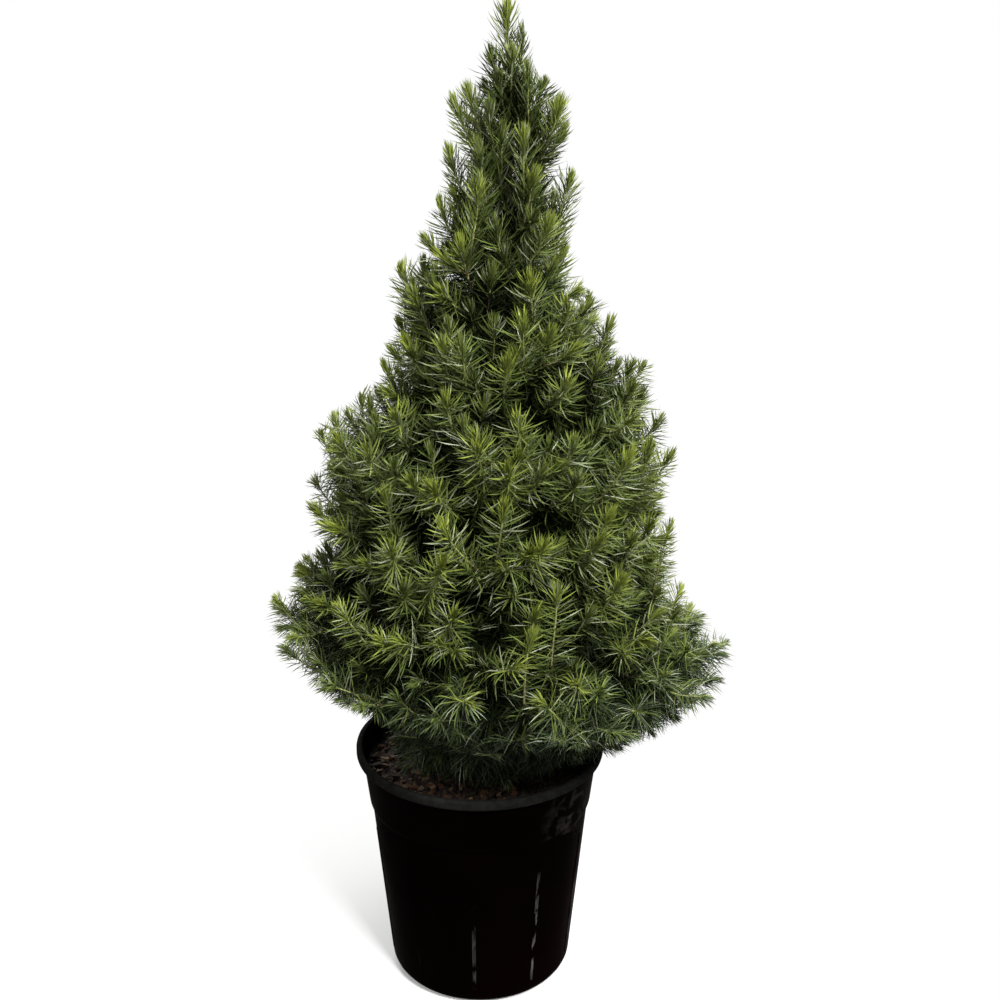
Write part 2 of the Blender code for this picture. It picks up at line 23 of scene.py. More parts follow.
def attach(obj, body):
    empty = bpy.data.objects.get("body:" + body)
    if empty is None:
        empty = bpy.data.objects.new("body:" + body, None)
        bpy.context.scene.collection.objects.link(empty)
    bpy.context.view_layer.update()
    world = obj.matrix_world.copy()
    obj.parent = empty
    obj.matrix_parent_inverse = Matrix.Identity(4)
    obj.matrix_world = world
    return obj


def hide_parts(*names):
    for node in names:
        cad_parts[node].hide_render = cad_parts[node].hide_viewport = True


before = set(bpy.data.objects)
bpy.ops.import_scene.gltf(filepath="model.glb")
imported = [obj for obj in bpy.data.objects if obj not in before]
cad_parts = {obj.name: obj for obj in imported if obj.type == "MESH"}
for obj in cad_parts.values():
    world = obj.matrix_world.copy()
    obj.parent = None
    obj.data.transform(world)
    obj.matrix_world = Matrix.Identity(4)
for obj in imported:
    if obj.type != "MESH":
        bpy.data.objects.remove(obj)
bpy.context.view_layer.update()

MM = 0.001
BODY = "root"
UP = Vector((0, 0, 1))
LOG = logging.getLogger("potted_spruce")

Pair = tuple[float, float]
Triple = tuple[float, float, float]
Colour = Triple
Socket = bpy.types.NodeSocket


# Working in Blender's modes


def leave_all() -> None:
    """Leaves edit mode and deselects every object."""
    if bpy.context.mode != "OBJECT":
        bpy.ops.object.mode_set(mode="OBJECT")
    bpy.ops.object.select_all(action="DESELECT")


def settle(piece: bpy.types.Object) -> None:
    """Moves a piece's place into its mesh, so that the object sits at the origin.

    Args:
        piece: the object to settle.
    """
    leave_all()
    piece.select_set(True)
    bpy.context.view_layer.objects.active = piece
    bpy.ops.object.transform_apply(location=True, rotation=True, scale=True)


def declare(piece: bpy.types.Object, slot: str, *nodes: str) -> None:
    """Hangs a piece on its body and hides the solids that it stands for.

    Args:
        piece: the finished piece.
        slot: not used.
        nodes: the solids that it stands for.
    """
    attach(piece, BODY)
    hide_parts(*nodes)
    LOG.info("%s: %d faces", piece.name, len(piece.data.polygons))


def unit(rows: np.ndarray) -> np.ndarray:
    """Each row scaled to a length of 1."""
    return rows / np.linalg.norm(rows, axis=1)[:, None]


def mesh_from_arrays(
    name: str,
    points: np.ndarray,
    triangles: np.ndarray,
    tints: np.ndarray,
    materials: list[bpy.types.Material],
) -> bpy.types.Object:
    """Makes one object of many small shapes from arrays.

    Args:
        name: the object's name.
        points: one row of x, y, z for each vertex.
        triangles: one row of three vertex numbers for each face.
        tints: each face's place in the list of materials.
        materials: the materials that the object carries.

    Returns:
        The object, linked to the scene at the origin.
    """
    mesh = bpy.data.meshes.new(name)
    mesh.vertices.add(len(points))
    mesh.vertices.foreach_set("co", points.astype(np.float32).ravel())
    mesh.loops.add(3 * len(triangles))
    mesh.loops.foreach_set("vertex_index", triangles.astype(np.int32).ravel())
    mesh.polygons.add(len(triangles))
    mesh.polygons.foreach_set("loop_start", np.arange(0, 3 * len(triangles), 3, dtype=np.int32))
    mesh.update(calc_edges=True)
    for entry in materials:
        mesh.materials.append(entry)
    mesh.polygons.foreach_set("material_index", tints.astype(np.int32))
    mesh.polygons.foreach_set("use_smooth", np.zeros(len(triangles), dtype=bool))
    mesh.validate()
    piece = bpy.data.objects.new(name, mesh)
    bpy.context.scene.collection.objects.link(piece)
    return piece


class RingModeller:
    """Models a round piece as by hand: a filled circle, extruded and resized from ring to ring."""

    def __init__(self, name: str, sides: int, radius: float, foot: Vector, along: Vector) -> None:
        """Adds the first circle and enters edit mode.

        Args:
            name: the object's name.
            sides: how many sides each ring has.
            radius: the first ring's radius.
            foot: the first ring's middle.
            along: the direction that the rings face.
        """
        leave_all()
        bpy.ops.mesh.primitive_circle_add(
            vertices=sides,
            radius=radius,
            fill_type="NGON",
            location=foot,
            rotation=along.to_track_quat("Z", "Y").to_euler(),
        )
        self.piece = bpy.context.object
        self.piece.name = name
        self.piece.data.name = name
        self.centre = foot.copy()
        self.radius = radius
        bpy.ops.object.mode_set(mode="EDIT")
        bpy.ops.mesh.select_mode(type="FACE")
        bpy.ops.mesh.select_all(action="SELECT")

    def go(self, centre: Vector, radius: float) -> None:
        """Extrudes the end face to a new middle and radius."""
        step = centre - self.centre
        bpy.ops.mesh.extrude_region_move(TRANSFORM_OT_translate={"value": tuple(step)})
        size = radius / self.radius
        bpy.ops.transform.resize(value=(size, size, size), center_override=tuple(centre))
        self.centre = centre.copy()
        self.radius = radius

    def go_through(self, profile: list[Pair]) -> None:
        """Extrudes the end face through a profile of (radius, height) about the vertical axis."""
        for radius, height in profile:
            self.go(Vector((0, 0, height)), radius)

    def select(self, kind: str, chosen: Callable[[Vector, Vector], bool]) -> None:
        """Selects the faces or the edges that a test picks out.

        Args:
            kind: "FACE", tested by its middle and its normal, or "EDGE", tested by its two ends.
            chosen: the test.
        """
        bpy.ops.mesh.select_mode(type=kind)
        bpy.ops.mesh.select_all(action="DESELECT")
        shape = bmesh.from_edit_mesh(self.piece.data)
        if kind == "FACE":
            picked = [f for f in shape.faces if chosen(f.calc_center_median(), f.normal)]
        else:
            picked = [e for e in shape.edges if chosen(e.verts[0].co, e.verts[1].co)]
        for element in picked:
            element.select_set(True)
        bmesh.update_edit_mesh(self.piece.data)

    def finish(self, smooth_degrees: float) -> bpy.types.Object:
        """Turns the faces outwards, leaves edit mode and shades the piece.

        Args:
            smooth_degrees: edges flatter than this are shaded smooth.

        Returns:
            The settled object.
        """
        bpy.ops.mesh.select_all(action="SELECT")
        bpy.ops.mesh.normals_make_consistent(inside=False)
        settle(self.piece)
        bpy.ops.object.shade_smooth_by_angle(angle=math.radians(smooth_degrees))
        return self.piece


# Finishes


class ShaderSheet:
    """Places the nodes of one material or node group."""

    def __init__(self, tree: bpy.types.NodeTree) -> None:
        """Keeps the node tree that the nodes go in."""
        self.tree = tree

    def place(self, kind: str, inputs: dict | None = None, **settings) -> bpy.types.Node:
        """Adds a node.

        Args:
            kind: the node's type.
            inputs: a value or a socket to link, for each named or numbered input.
            settings: the node's own options.

        Returns:
            The node.
        """
        made = self.tree.nodes.new(kind)
        for name, value in settings.items():
            setattr(made, name, value)
        for key, value in (inputs or {}).items():
            if isinstance(value, bpy.types.NodeSocket):
                self.tree.links.new(value, made.inputs[key])
            else:
                made.inputs[key].default_value = value
        return made

    def feed(self, node: bpy.types.Node, inputs: dict[str, Socket]) -> None:
        """Links a socket to each named input of a node."""
        for name, socket in inputs.items():
            self.tree.links.new(socket, node.inputs[name])

    def group(self, tree: bpy.types.NodeTree, inputs: dict) -> Socket:
        """Places a node group with its own values and gives its output."""
        return self.place("ShaderNodeGroup", inputs, node_tree=tree).outputs[0]

    def blend(self, share: Socket, first: Socket | Colour, second: Colour) -> Socket:
        """Mixes two colours by a share and gives the mixed colour."""
        pair = [(*side, 1) if isinstance(side, tuple) else side for side in (first, second)]
        inputs = {0: share, 6: pair[0], 7: pair[1]}
        return self.place("ShaderNodeMix", inputs, data_type="RGBA").outputs[2]

    def ramp(self, value: Socket, low: float, high: float, end: float = 1.0) -> Socket:
        """Maps a value between two limits to a share between 0 and the end."""
        inputs = {"Value": value, "From Min": low, "From Max": high, "To Max": end}
        return self.place("ShaderNodeMapRange", inputs).outputs[0]

    def maths(self, operation: str, first: Socket, second: Socket | float) -> Socket:
        """Does one sum on two values."""
        return self.place("ShaderNodeMath", {0: first, 1: second}, operation=operation).outputs[0]

    def scaled(self, spot: Socket, sizes: Triple) -> Socket:
        """Scales a place along each axis."""
        inputs = {0: spot, 1: sizes}
        return self.place("ShaderNodeVectorMath", inputs, operation="MULTIPLY").outputs[0]

    def distance(self, spot: Socket, other: Triple) -> Socket:
        """The distance from a place to another."""
        inputs = {0: spot, 1: other}
        return self.place("ShaderNodeVectorMath", inputs, operation="DISTANCE").outputs["Value"]

    def length(self, spot: Socket) -> Socket:
        """The distance from the origin to a place."""
        return self.place("ShaderNodeVectorMath", {0: spot}, operation="LENGTH").outputs["Value"]

    def bump(self, height: Socket, strength: float, distance: float) -> Socket:
        """Turns a height into a normal."""
        inputs = {"Strength": strength, "Distance": distance, "Height": height}
        return self.place("ShaderNodeBump", inputs).outputs[0]


def noise_group(
    name: str, inputs: dict[str, float], noise: dict[str, float], spans: dict, output: str
) -> bpy.types.NodeTree:
    """The group that maps a noise over a surface to a value or a mask, made once.

    Args:
        name: the group's name.
        inputs: the default of each number that the group takes, beside its vector.
        noise: the noise's own values.
        spans: each limit of the mapping, as a number or the name of an input.
        output: the name of its output.

    Returns:
        The group.
    """
    group = bpy.data.node_groups.get(name)
    if group:
        return group
    group = bpy.data.node_groups.new(name, "ShaderNodeTree")
    sockets = group.interface
    sockets.new_socket(name="Vector", in_out="INPUT", socket_type="NodeSocketVector")
    for label, default in inputs.items():
        socket = sockets.new_socket(name=label, in_out="INPUT", socket_type="NodeSocketFloat")
        socket.default_value = default
    sockets.new_socket(name=output, in_out="OUTPUT", socket_type="NodeSocketFloat")
    sheet = ShaderSheet(group)
    given, result = sheet.place("NodeGroupInput").outputs, sheet.place("NodeGroupOutput")
    noise = {"Vector": given["Vector"], "Scale": given["Scale"], **noise}
    limits = {key: given[to] if isinstance(to, str) else to for key, to in spans.items()}
    limits["Value"] = sheet.place("ShaderNodeTexNoise", noise).outputs[0]
    sheet.feed(result, {output: sheet.place("ShaderNodeMapRange", limits).outputs[0]})
    return group


def grain_group() -> bpy.types.NodeTree:
    """The group that spreads a fine grain between two values."""
    inputs = {"Scale": 100.0, "Low": 0.0, "High": 1.0}
    spans = {"From Min": 0.32, "From Max": 0.68, "To Min": "Low", "To Max": "High"}
    return noise_group("fine_grain", inputs, {"Detail": 5.0}, spans, "Value")


def patch_group() -> bpy.types.NodeTree:
    """The group that marks uneven patches with soft edges."""
    inputs = {"Scale": 40.0, "Start": 0.55, "Full": 0.62}
    spans = {"From Min": "Start", "From Max": "Full"}
    noise = {"Detail": 3.0, "Distortion": 0.6}
    return noise_group("uneven_patches", inputs, noise, spans, "Mask")


def new_material(name: str, constants: dict[str, object]) -> tuple:
    """Starts a Principled material whose constant values stand on the shader's own sockets.

    Args:
        name: the material's name.
        constants: a value for each named socket.

    Returns:
        The material, its sheet and its shader.
    """
    made = bpy.data.materials.new(name)
    made.use_nodes = True
    shader = made.node_tree.nodes["Principled BSDF"]
    for label, value in constants.items():
        shader.inputs[label].default_value = (*value, 1) if isinstance(value, tuple) else value
    return made, ShaderSheet(made.node_tree), shader


def patched_material(
    name: str, roughness: float, colours: tuple[Colour, Colour], patches: dict, bump: tuple
) -> bpy.types.Material:
    """Makes a rough material of two colours in patches, with a fine bump.

    Args:
        name: the material's name.
        roughness: its roughness.
        colours: the colour between the patches and the patches' own.
        patches: the values of the patches.
        bump: the bump's scale, strength and distance.

    Returns:
        The material.
    """
    made, sheet, shader = new_material(name, {"Roughness": roughness})
    spot = sheet.place("ShaderNodeTexCoord").outputs["Object"]
    mask = sheet.group(patch_group(), {"Vector": spot, **patches})
    fine = sheet.group(grain_group(), {"Vector": spot, "Scale": bump[0]})
    normal = sheet.bump(fine, *bump[1:])
    sheet.feed(shader, {"Base Color": sheet.blend(mask, *colours), "Normal": normal})
    return made


@dataclass(frozen=True)
class PlainFinish:
    """One plain colour with its gloss, for small things dealt out by spray."""

    name: str
    colour: Colour
    roughness: float = 0.5
    specular: float = 0.5

    def material(self) -> bpy.types.Material:
        """Makes the material."""
        constants = {
            "Base Color": self.colour,
            "Roughness": self.roughness,
            "Specular IOR Level": self.specular,
        }
        return new_material(self.name, constants)[0]


class NeedleTint(Enum):
    """The tints of the needles, from the soft tips of the shoots to the painted shade inside."""

    TIP = PlainFinish("needles_tip", (0.202, 0.242, 0.036), 0.42, 0.3)
    YOUNG = PlainFinish("needles_young", (0.158, 0.196, 0.034), 0.42, 0.3)
    FRESH = PlainFinish("needles_fresh", (0.121, 0.156, 0.032), 0.42, 0.3)
    GREEN = PlainFinish("needles_green", (0.090, 0.120, 0.028), 0.42, 0.3)
    # The deep and shade tints are painted shade for needles under cover.
    DEEP = PlainFinish("needles_deep", (0.044, 0.062, 0.013), 0.45, 0.25)
    SHADE = PlainFinish("needles_shade", (0.006, 0.010, 0.002), 0.6, 0.1)
    PALE_BLUE = PlainFinish("needles_pale_blue", (0.070, 0.098, 0.044), 0.42, 0.3)
    BLUE = PlainFinish("needles_blue", (0.034, 0.048, 0.024), 0.45, 0.25)
    # Pale stomatal bands, which also stand for painted highlights on the needles.
    BANDED = PlainFinish("needles_banded", (0.215, 0.238, 0.145), 0.45, 0.3)


class TwigTint(Enum):
    """The tints of the twigs, from this year's shoots to the wood, and a painted shade for twigs
    deep in the crown.
    """

    SHOOT = PlainFinish("twig_shoot", (0.230, 0.250, 0.085), 0.6, 0.2)
    TAN = PlainFinish("twig_tan", (0.200, 0.180, 0.080), 0.7, 0.2)
    BROWN = PlainFinish("twig_brown", (0.110, 0.075, 0.036), 0.8, 0.2)
    SHADED = PlainFinish("twig_shaded", (0.024, 0.016, 0.009), 0.9, 0.2)


class ChipTint(Enum):
    """The tints of the bark chips on the potting mix."""

    DARK = PlainFinish("chip_dark", (0.014, 0.009, 0.006), 0.9, 0.3)
    EARTH = PlainFinish("chip_earth", (0.034, 0.022, 0.013), 0.9, 0.3)
    RUSSET = PlainFinish("chip_russet", (0.100, 0.048, 0.024), 0.85, 0.3)
    STRAW = PlainFinish("chip_straw", (0.170, 0.115, 0.065), 0.85, 0.3)


@dataclass(frozen=True)
class Grain:
    """A fine grain: how fine it is and the two values that it runs between."""

    scale: float
    low: float = 0.0
    high: float = 1.0


@dataclass(frozen=True)
class PotPlastic:
    """Moulded near-black plastic with a grey lip, ribs with scuffs and painted glints, and dried
    water marks.

    Each scuff, partly real wear and partly a painted glint, has its middle, the radius inside which
    it is full, the radius where it ends and how strong it is.
    """

    black: Colour = (0.0006, 0.0004, 0.0003)
    maroon: Colour = (0.0018, 0.0005, 0.0004)
    lip: Colour = (0.0140, 0.0142, 0.0126)
    wear_and_glint: Colour = (0.1100, 0.1050, 0.0950)
    mark: Colour = (0.0210, 0.0190, 0.0175)
    lip_start: float = 157.6 * MM
    lip_fade: float = 0.8 * MM
    lip_matt: float = 0.12
    mottle: Grain = Grain(14.0, 0.0, 0.9)
    dust: Grain = Grain(260.0, 0.55, 1.0)
    gloss: Grain = Grain(45.0, 0.26, 0.40)
    relief: Grain = Grain(900.0)
    scuffs_and_glints: tuple[tuple[Triple, float, float, float], ...] = (
        ((0.034, -0.055, 0.052), 0.018, 0.050, 0.9),
        ((-0.004, -0.063, 0.030), 0.010, 0.040, 0.25),
        ((-0.060, 0.026, 0.040), 0.015, 0.040, 0.5),
        ((0.020, 0.061, 0.030), 0.010, 0.030, 0.4),
    )
    rib_start: float = 0.15 * MM
    rib_full: float = 0.32 * MM
    rib_fade: Pair = (112 * MM, 104 * MM)
    splash: Triple = (0.060, -0.046, 0.138)
    splash_near: float = 6 * MM
    splash_far: float = 30 * MM

    def material(self, foot_radius: float, slope: float) -> bpy.types.Material:
        """Makes the material.

        Args:
            foot_radius: the wall's radius carried down to height 0.
            slope: how much the wall's radius grows for each metre of height.

        Returns:
            The material.
        """
        constants = {"Specular IOR Level": 0.0005, "Sheen Weight": 0.006}
        constants |= {"Sheen Roughness": 0.3, "Sheen Tint": (0.60, 0.16, 0.10)}
        made, sheet, shader = new_material("pot_plastic", constants)
        spot = sheet.place("ShaderNodeTexCoord").outputs["Object"]
        height = sheet.place("ShaderNodeSeparateXYZ", {0: spot}).outputs["Z"]

        def spread(grain: Grain) -> Socket:
            """Spreads a grain over the pot."""
            inputs = {"Vector": spot, "Scale": grain.scale, "Low": grain.low, "High": grain.high}
            return sheet.group(grain_group(), inputs)

        colour = sheet.blend(spread(self.mottle), self.black, self.maroon)
        lip = sheet.ramp(height, self.lip_start, self.lip_start + self.lip_fade)
        dust = sheet.maths("MULTIPLY", lip, spread(self.dust))
        colour = sheet.blend(dust, colour, self.lip)
        ribs = self.scuffed_and_glinting_ribs(sheet, spot, height, foot_radius, slope)
        # The ribs turn pale in scuffs: partly real wear, partly painted glints.
        colour = sheet.blend(ribs, colour, self.wear_and_glint)
        colour = sheet.blend(self.water_marks(sheet, spot), colour, self.mark)
        matt = sheet.maths("MULTIPLY", lip, self.lip_matt)
        gloss = sheet.maths("ADD", spread(self.gloss), matt)
        normal = sheet.bump(spread(self.relief), 0.25, 0.0002)
        sheet.feed(shader, {"Base Color": colour, "Roughness": gloss, "Normal": normal})
        return made

    def scuffed_and_glinting_ribs(
        self, sheet: ShaderSheet, spot: Socket, height: Socket, foot_radius: float, slope: float
    ) -> Socket:
        """Marks what stands proud of the wall, where it is scuffed in broken streaks that also
        stand for painted glints.
        """
        radius = sheet.length(sheet.scaled(spot, (1, 1, 0)))
        wall = sheet.maths("ADD", sheet.maths("MULTIPLY", height, slope), foot_radius)
        rib = sheet.ramp(sheet.maths("SUBTRACT", radius, wall), self.rib_start, self.rib_full)
        rib = sheet.maths("MULTIPLY", rib, sheet.ramp(height, *self.rib_fade))
        drawn_out = sheet.scaled(spot, (1, 1, 0.25))
        inputs = {"Vector": drawn_out, "Scale": 210.0, "Start": 0.44, "Full": 0.60}
        streaks = sheet.group(patch_group(), inputs)
        where = 0.0
        for place, near, far, most in self.scuffs_and_glints:
            share = sheet.ramp(sheet.distance(spot, place), far, near, most)
            where = sheet.maths("MAXIMUM", share, where)
        return sheet.maths("MULTIPLY", sheet.maths("MULTIPLY", rib, streaks), where)

    def water_marks(self, sheet: ShaderSheet, spot: Socket) -> Socket:
        """Marks dried splashes on the collar's right."""
        region = sheet.ramp(sheet.distance(spot, self.splash), self.splash_far, self.splash_near)
        inputs = {"Vector": spot, "Scale": 120.0, "Start": 0.50, "Full": 0.66}
        splash = sheet.group(patch_group(), inputs)
        return sheet.maths("MULTIPLY", sheet.maths("MULTIPLY", region, splash), 0.9)


@dataclass(frozen=True)
class BarkFinish:
    """Rough brown bark with orange flakes."""

    name: str
    dark: Colour
    flake: Colour
    scale: float

    def material(self) -> bpy.types.Material:
        """Makes the material."""
        patches = {"Scale": self.scale, "Start": 0.42, "Full": 0.58}
        bump = (5 * self.scale, 0.6, 0.0004)
        return patched_material(self.name, 0.85, (self.dark, self.flake), patches, bump)


@dataclass(frozen=True)
class MixFinish:
    """Damp potting mix: near-black crumbs with red-brown fibres."""

    dark: Colour = (0.012, 0.008, 0.006)
    crumb: Colour = (0.060, 0.032, 0.020)

    def material(self) -> bpy.types.Material:
        """Makes the material."""
        patches = {"Scale": 330.0, "Start": 0.45, "Full": 0.66}
        colours, bump = (self.dark, self.crumb), (700.0, 0.8, 0.001)
        return patched_material("potting_mix", 0.95, colours, patches, bump)


# The pot and its filling


@dataclass
class NurseryPot:
    """The moulded pot: base, ribbed wall, step, collar and rolled lip."""

    height: float = 165 * MM
    rim_radius: float = 82.5 * MM
    mouth_radius: float = 78.6 * MM
    lip_depth: float = 6.5 * MM
    lip_rounding: float = 1.6 * MM
    collar_top_radius: float = 78.6 * MM
    collar_foot_radius: float = 74.6 * MM
    collar_foot: float = 127 * MM
    step_depth: float = 3 * MM
    wall_top_radius: float = 72.9 * MM
    wall_foot_radius: float = 61.8 * MM
    base_rounding: float = 9 * MM
    wall: float = 1.6 * MM
    floor: float = 2.2 * MM
    sides: int = 180
    rib_count: int = 10
    first_rib_degrees: float = -93
    rib_foot: float = 13 * MM
    rib_top: float = 108 * MM
    rib_height: float = 0.4 * MM
    finish: PotPlastic = field(default_factory=PotPlastic)

    def wall_radius(self, height: float) -> float:
        """The wall's outer radius at a height."""
        foot, top = self.base_rounding, self.collar_foot - self.step_depth
        share = (height - foot) / (top - foot)
        return self.wall_foot_radius + (self.wall_top_radius - self.wall_foot_radius) * share

    def base(self) -> list[Pair]:
        """The rounded foot of the wall as (radius, height)."""
        points = []
        for turn in range(15, 91, 15):
            angle = math.radians(turn)
            radius = self.wall_foot_radius - self.base_rounding * (1 - math.sin(angle))
            points.append((radius, self.base_rounding * (1 - math.cos(angle))))
        return points

    def outside(self) -> list[Pair]:
        """The outer profile above the base, up to the foot of the lip."""
        lip_foot = self.height - self.lip_depth
        ring_heights = (self.rib_foot, self.rib_top)
        step_foot = self.collar_foot - self.step_depth
        points = [(self.wall_radius(height), height) for height in ring_heights]
        return points + [
            (self.wall_top_radius, step_foot),
            (self.wall_top_radius + 0.9 * MM, step_foot + 0.4 * MM),
            (self.collar_foot_radius - 0.2 * MM, self.collar_foot - 0.9 * MM),
            (self.collar_foot_radius, self.collar_foot),
            (self.collar_top_radius - 0.4 * MM, lip_foot - 2 * MM),
            (self.collar_top_radius + 0.4 * MM, lip_foot - 0.4 * MM),
        ]

    def lip(self) -> list[Pair]:
        """The rolled lip's profile, from under its outer edge over its top to the mouth."""
        rounding = self.lip_rounding
        lip_foot = self.height - self.lip_depth
        points = []
        for low, middle_height in ((True, lip_foot + rounding), (False, self.height - rounding)):
            for turn in range(0, 91, 30):
                angle = math.radians(turn - 90 if low else turn)
                out = self.rim_radius - rounding + rounding * math.cos(angle)
                points.append((out, middle_height + rounding * math.sin(angle)))
        points.append((self.mouth_radius + 1.0 * MM, self.height))
        points.append((self.mouth_radius + 0.2 * MM, self.height - 0.4 * MM))
        return points

    def inside(self) -> list[Pair]:
        """The inner profile, from the mouth down to the floor."""
        return [
            (self.mouth_radius - 0.6 * MM, self.height - 2.2 * MM),
            (self.collar_top_radius - self.wall, self.height - self.lip_depth - 1 * MM),
            (self.collar_foot_radius - self.wall, self.collar_foot),
            (self.wall_top_radius - self.wall, self.collar_foot - self.step_depth),
            (self.wall_foot_radius - self.wall, self.base_rounding),
            (self.wall_foot_radius - self.base_rounding, self.floor),
        ]

    def raise_ribs(self, modeller: RingModeller) -> None:
        """Draws the ribs a little out of the wall."""
        pitch = 360 / self.rib_count

        def on_rib(middle: Vector, normal: Vector) -> bool:
            """Whether a face lies on the wall's outside in one of the ribs' places."""
            turn = math.degrees(math.atan2(middle.y, middle.x)) - self.first_rib_degrees
            off = abs((turn + pitch / 2) % pitch - pitch / 2)
            between = self.rib_foot < middle.z < self.rib_top
            outward = normal.xy.dot(middle.xy) > 0 and abs(normal.z) < 0.5
            outer = middle.xy.length > self.wall_radius(middle.z) - 0.5 * self.wall
            return between and outward and outer and off < 180 / self.sides

        modeller.select("FACE", on_rib)
        size = 1 + self.rib_height / self.wall_radius((self.rib_foot + self.rib_top) / 2)
        bpy.ops.mesh.extrude_region_move(TRANSFORM_OT_translate={"value": (0, 0, 0)})
        bpy.ops.transform.resize(value=(size, size, 1), center_override=(0, 0, 0))

    def build(self) -> bpy.types.Object:
        """Models the pot and dresses it."""
        first = self.wall_foot_radius - self.base_rounding
        modeller = RingModeller("pot_moulding", self.sides, first, Vector((0, 0, 0)), UP)
        modeller.go_through(self.base() + self.outside() + self.lip() + self.inside())
        bpy.ops.mesh.select_all(action="SELECT")
        bpy.ops.mesh.normals_make_consistent(inside=False)
        self.raise_ribs(modeller)
        piece = modeller.finish(35)
        rise = self.collar_foot - self.step_depth - self.base_rounding
        slope = (self.wall_top_radius - self.wall_foot_radius) / rise
        foot = self.wall_foot_radius - slope * self.base_rounding
        piece.data.materials.append(self.finish.material(foot, slope))
        declare(piece, "pot_plastic", "nursery_pot")
        return piece


@dataclass
class PottingMix:
    """The potting mix: an uneven bed that fills the pot, with bark chips lying on it."""

    pot: NurseryPot
    height: float = 153 * MM
    edge_height: float = 150 * MM
    gap: float = 0.3 * MM
    rings: int = 26
    sides: int = 120
    seat_radius: float = 14 * MM
    roughness: float = 1.6 * MM
    chip_count: int = 1500
    chip_size: Pair = (2.2 * MM, 6.5 * MM)
    chip_breadth: Pair = (0.4, 0.8)
    chip_thickness: Pair = (0.2, 0.45)
    chip_corners: Pair = (0.55, 1.1)
    chip_tilt: float = 0.5
    chip_levels: Triple = (0.05, 0.55, 1.05)
    trunk_foot: Vector = field(default_factory=lambda: Vector((5 * MM, 0, 0)))
    seed: int = 5

    def edge_radius(self) -> float:
        """The bed's radius where it meets the pot's wall."""
        pot = self.pot
        lip_foot = pot.height - pot.lip_depth
        share = (self.edge_height - pot.collar_foot) / (lip_foot - pot.collar_foot)
        outer = pot.collar_foot_radius + (pot.collar_top_radius - pot.collar_foot_radius) * share
        return outer - pot.wall - self.gap

    def bed_height(self, radius: float) -> float:
        """The bed's mean height at a radius: a low dome that falls to the wall."""
        share = min(1.0, radius / self.edge_radius())
        return self.height - (self.height - self.edge_height) * share**2

    def build_bed(self) -> bpy.types.Object:
        """Models the bed and its body down to the pot's floor."""
        pot = self.pot
        inset = pot.wall + self.gap
        first = pot.wall_foot_radius - pot.base_rounding - inset
        foot = Vector((0, 0, pot.floor + self.gap))
        modeller = RingModeller("potting_bed", self.sides, first, foot, UP)
        edge = self.edge_radius()
        profile = [
            (pot.wall_foot_radius - inset, pot.base_rounding),
            (pot.wall_top_radius - inset, pot.collar_foot - pot.step_depth),
            (edge, self.edge_height),
        ]
        for ring in range(1, self.rings):
            radius = edge * (1 - ring / self.rings)
            profile.append((radius, self.bed_height(radius)))
        modeller.go_through(profile)
        piece = modeller.finish(60)
        chance = random.Random(self.seed)
        for vertex in piece.data.vertices:
            radius = vertex.co.xy.length
            if vertex.co.z > self.edge_height - MM and self.seat_radius < radius < edge - MM:
                vertex.co.z += chance.uniform(-1, 1) * self.roughness
        piece.data.materials.append(MixFinish().material())
        declare(piece, "potting_mix", "potting_soil")
        return piece

    def build_chips(self) -> bpy.types.Object:
        """Scatters the chips as one mesh, each a small block with uneven corners."""
        chance = np.random.default_rng(self.seed)
        count = self.chip_count
        radius = (self.edge_radius() - 2.5 * MM) * np.sqrt(chance.uniform(0, 1, count))
        turn = chance.uniform(0, 2 * np.pi, count)
        places = np.stack([radius * np.cos(turn), radius * np.sin(turn)], axis=1)
        foot = np.array([self.trunk_foot.x, self.trunk_foot.y])
        places = places[np.linalg.norm(places - foot, axis=1) > self.seat_radius]
        count = len(places)
        low, high = self.chip_size
        length = low + (high - low) * chance.uniform(0, 1, count) ** 2
        breadth = length * chance.uniform(*self.chip_breadth, count)
        thickness = length * chance.uniform(*self.chip_thickness, count)
        sizes = np.stack([length, breadth, thickness], axis=1)
        corners = np.array([(x, y, z) for x in (-1, 1) for y in (-1, 1) for z in (-1, 1)]) * 0.5
        blocks = corners[None] * sizes[:, None]
        blocks = blocks * chance.uniform(*self.chip_corners, blocks.shape)
        yaws = chance.uniform(0, 6.28, count)
        tilts = chance.uniform(-self.chip_tilt, self.chip_tilt, count)
        spins = [
            Matrix.Rotation(yaw, 3, "Z") @ Matrix.Rotation(tilt, 3, "X")
            for yaw, tilt in zip(yaws, tilts)
        ]
        blocks = np.einsum("nij,nkj->nki", np.array(spins), blocks)
        heights = [self.bed_height(float(np.hypot(*place))) for place in places]
        lift = np.array(heights) + sizes[:, 2] * 0.25 + chance.uniform(-0.3, 1.0, count) * MM
        points = blocks + np.concatenate([places, lift[:, None]], axis=1)[:, None]
        faces = np.array(
            [
                (0, 1, 3), (0, 3, 2), (4, 6, 7), (4, 7, 5), (0, 4, 5), (0, 5, 1),
                (2, 3, 7), (2, 7, 6), (0, 2, 6), (0, 6, 4), (1, 5, 7), (1, 7, 3),
            ]
        )  # fmt: skip
        triangles = faces[None] + 8 * np.arange(count)[:, None, None]
        # More red-brown and pale chips lie at the front left, and dark ones elsewhere.
        warm = places[:, 0] * -8 + places[:, 1] * -6 + chance.uniform(-0.5, 0.9, count)
        level = np.digitize(warm, self.chip_levels)
        piece = mesh_from_arrays(
            "bark_chips",
            points.reshape(-1, 3),
            triangles.reshape(-1, 3),
            np.repeat(level, 12),
            [tint.value.material() for tint in ChipTint],
        )
        declare(piece, "potting_mix", "potting_soil")
        return piece

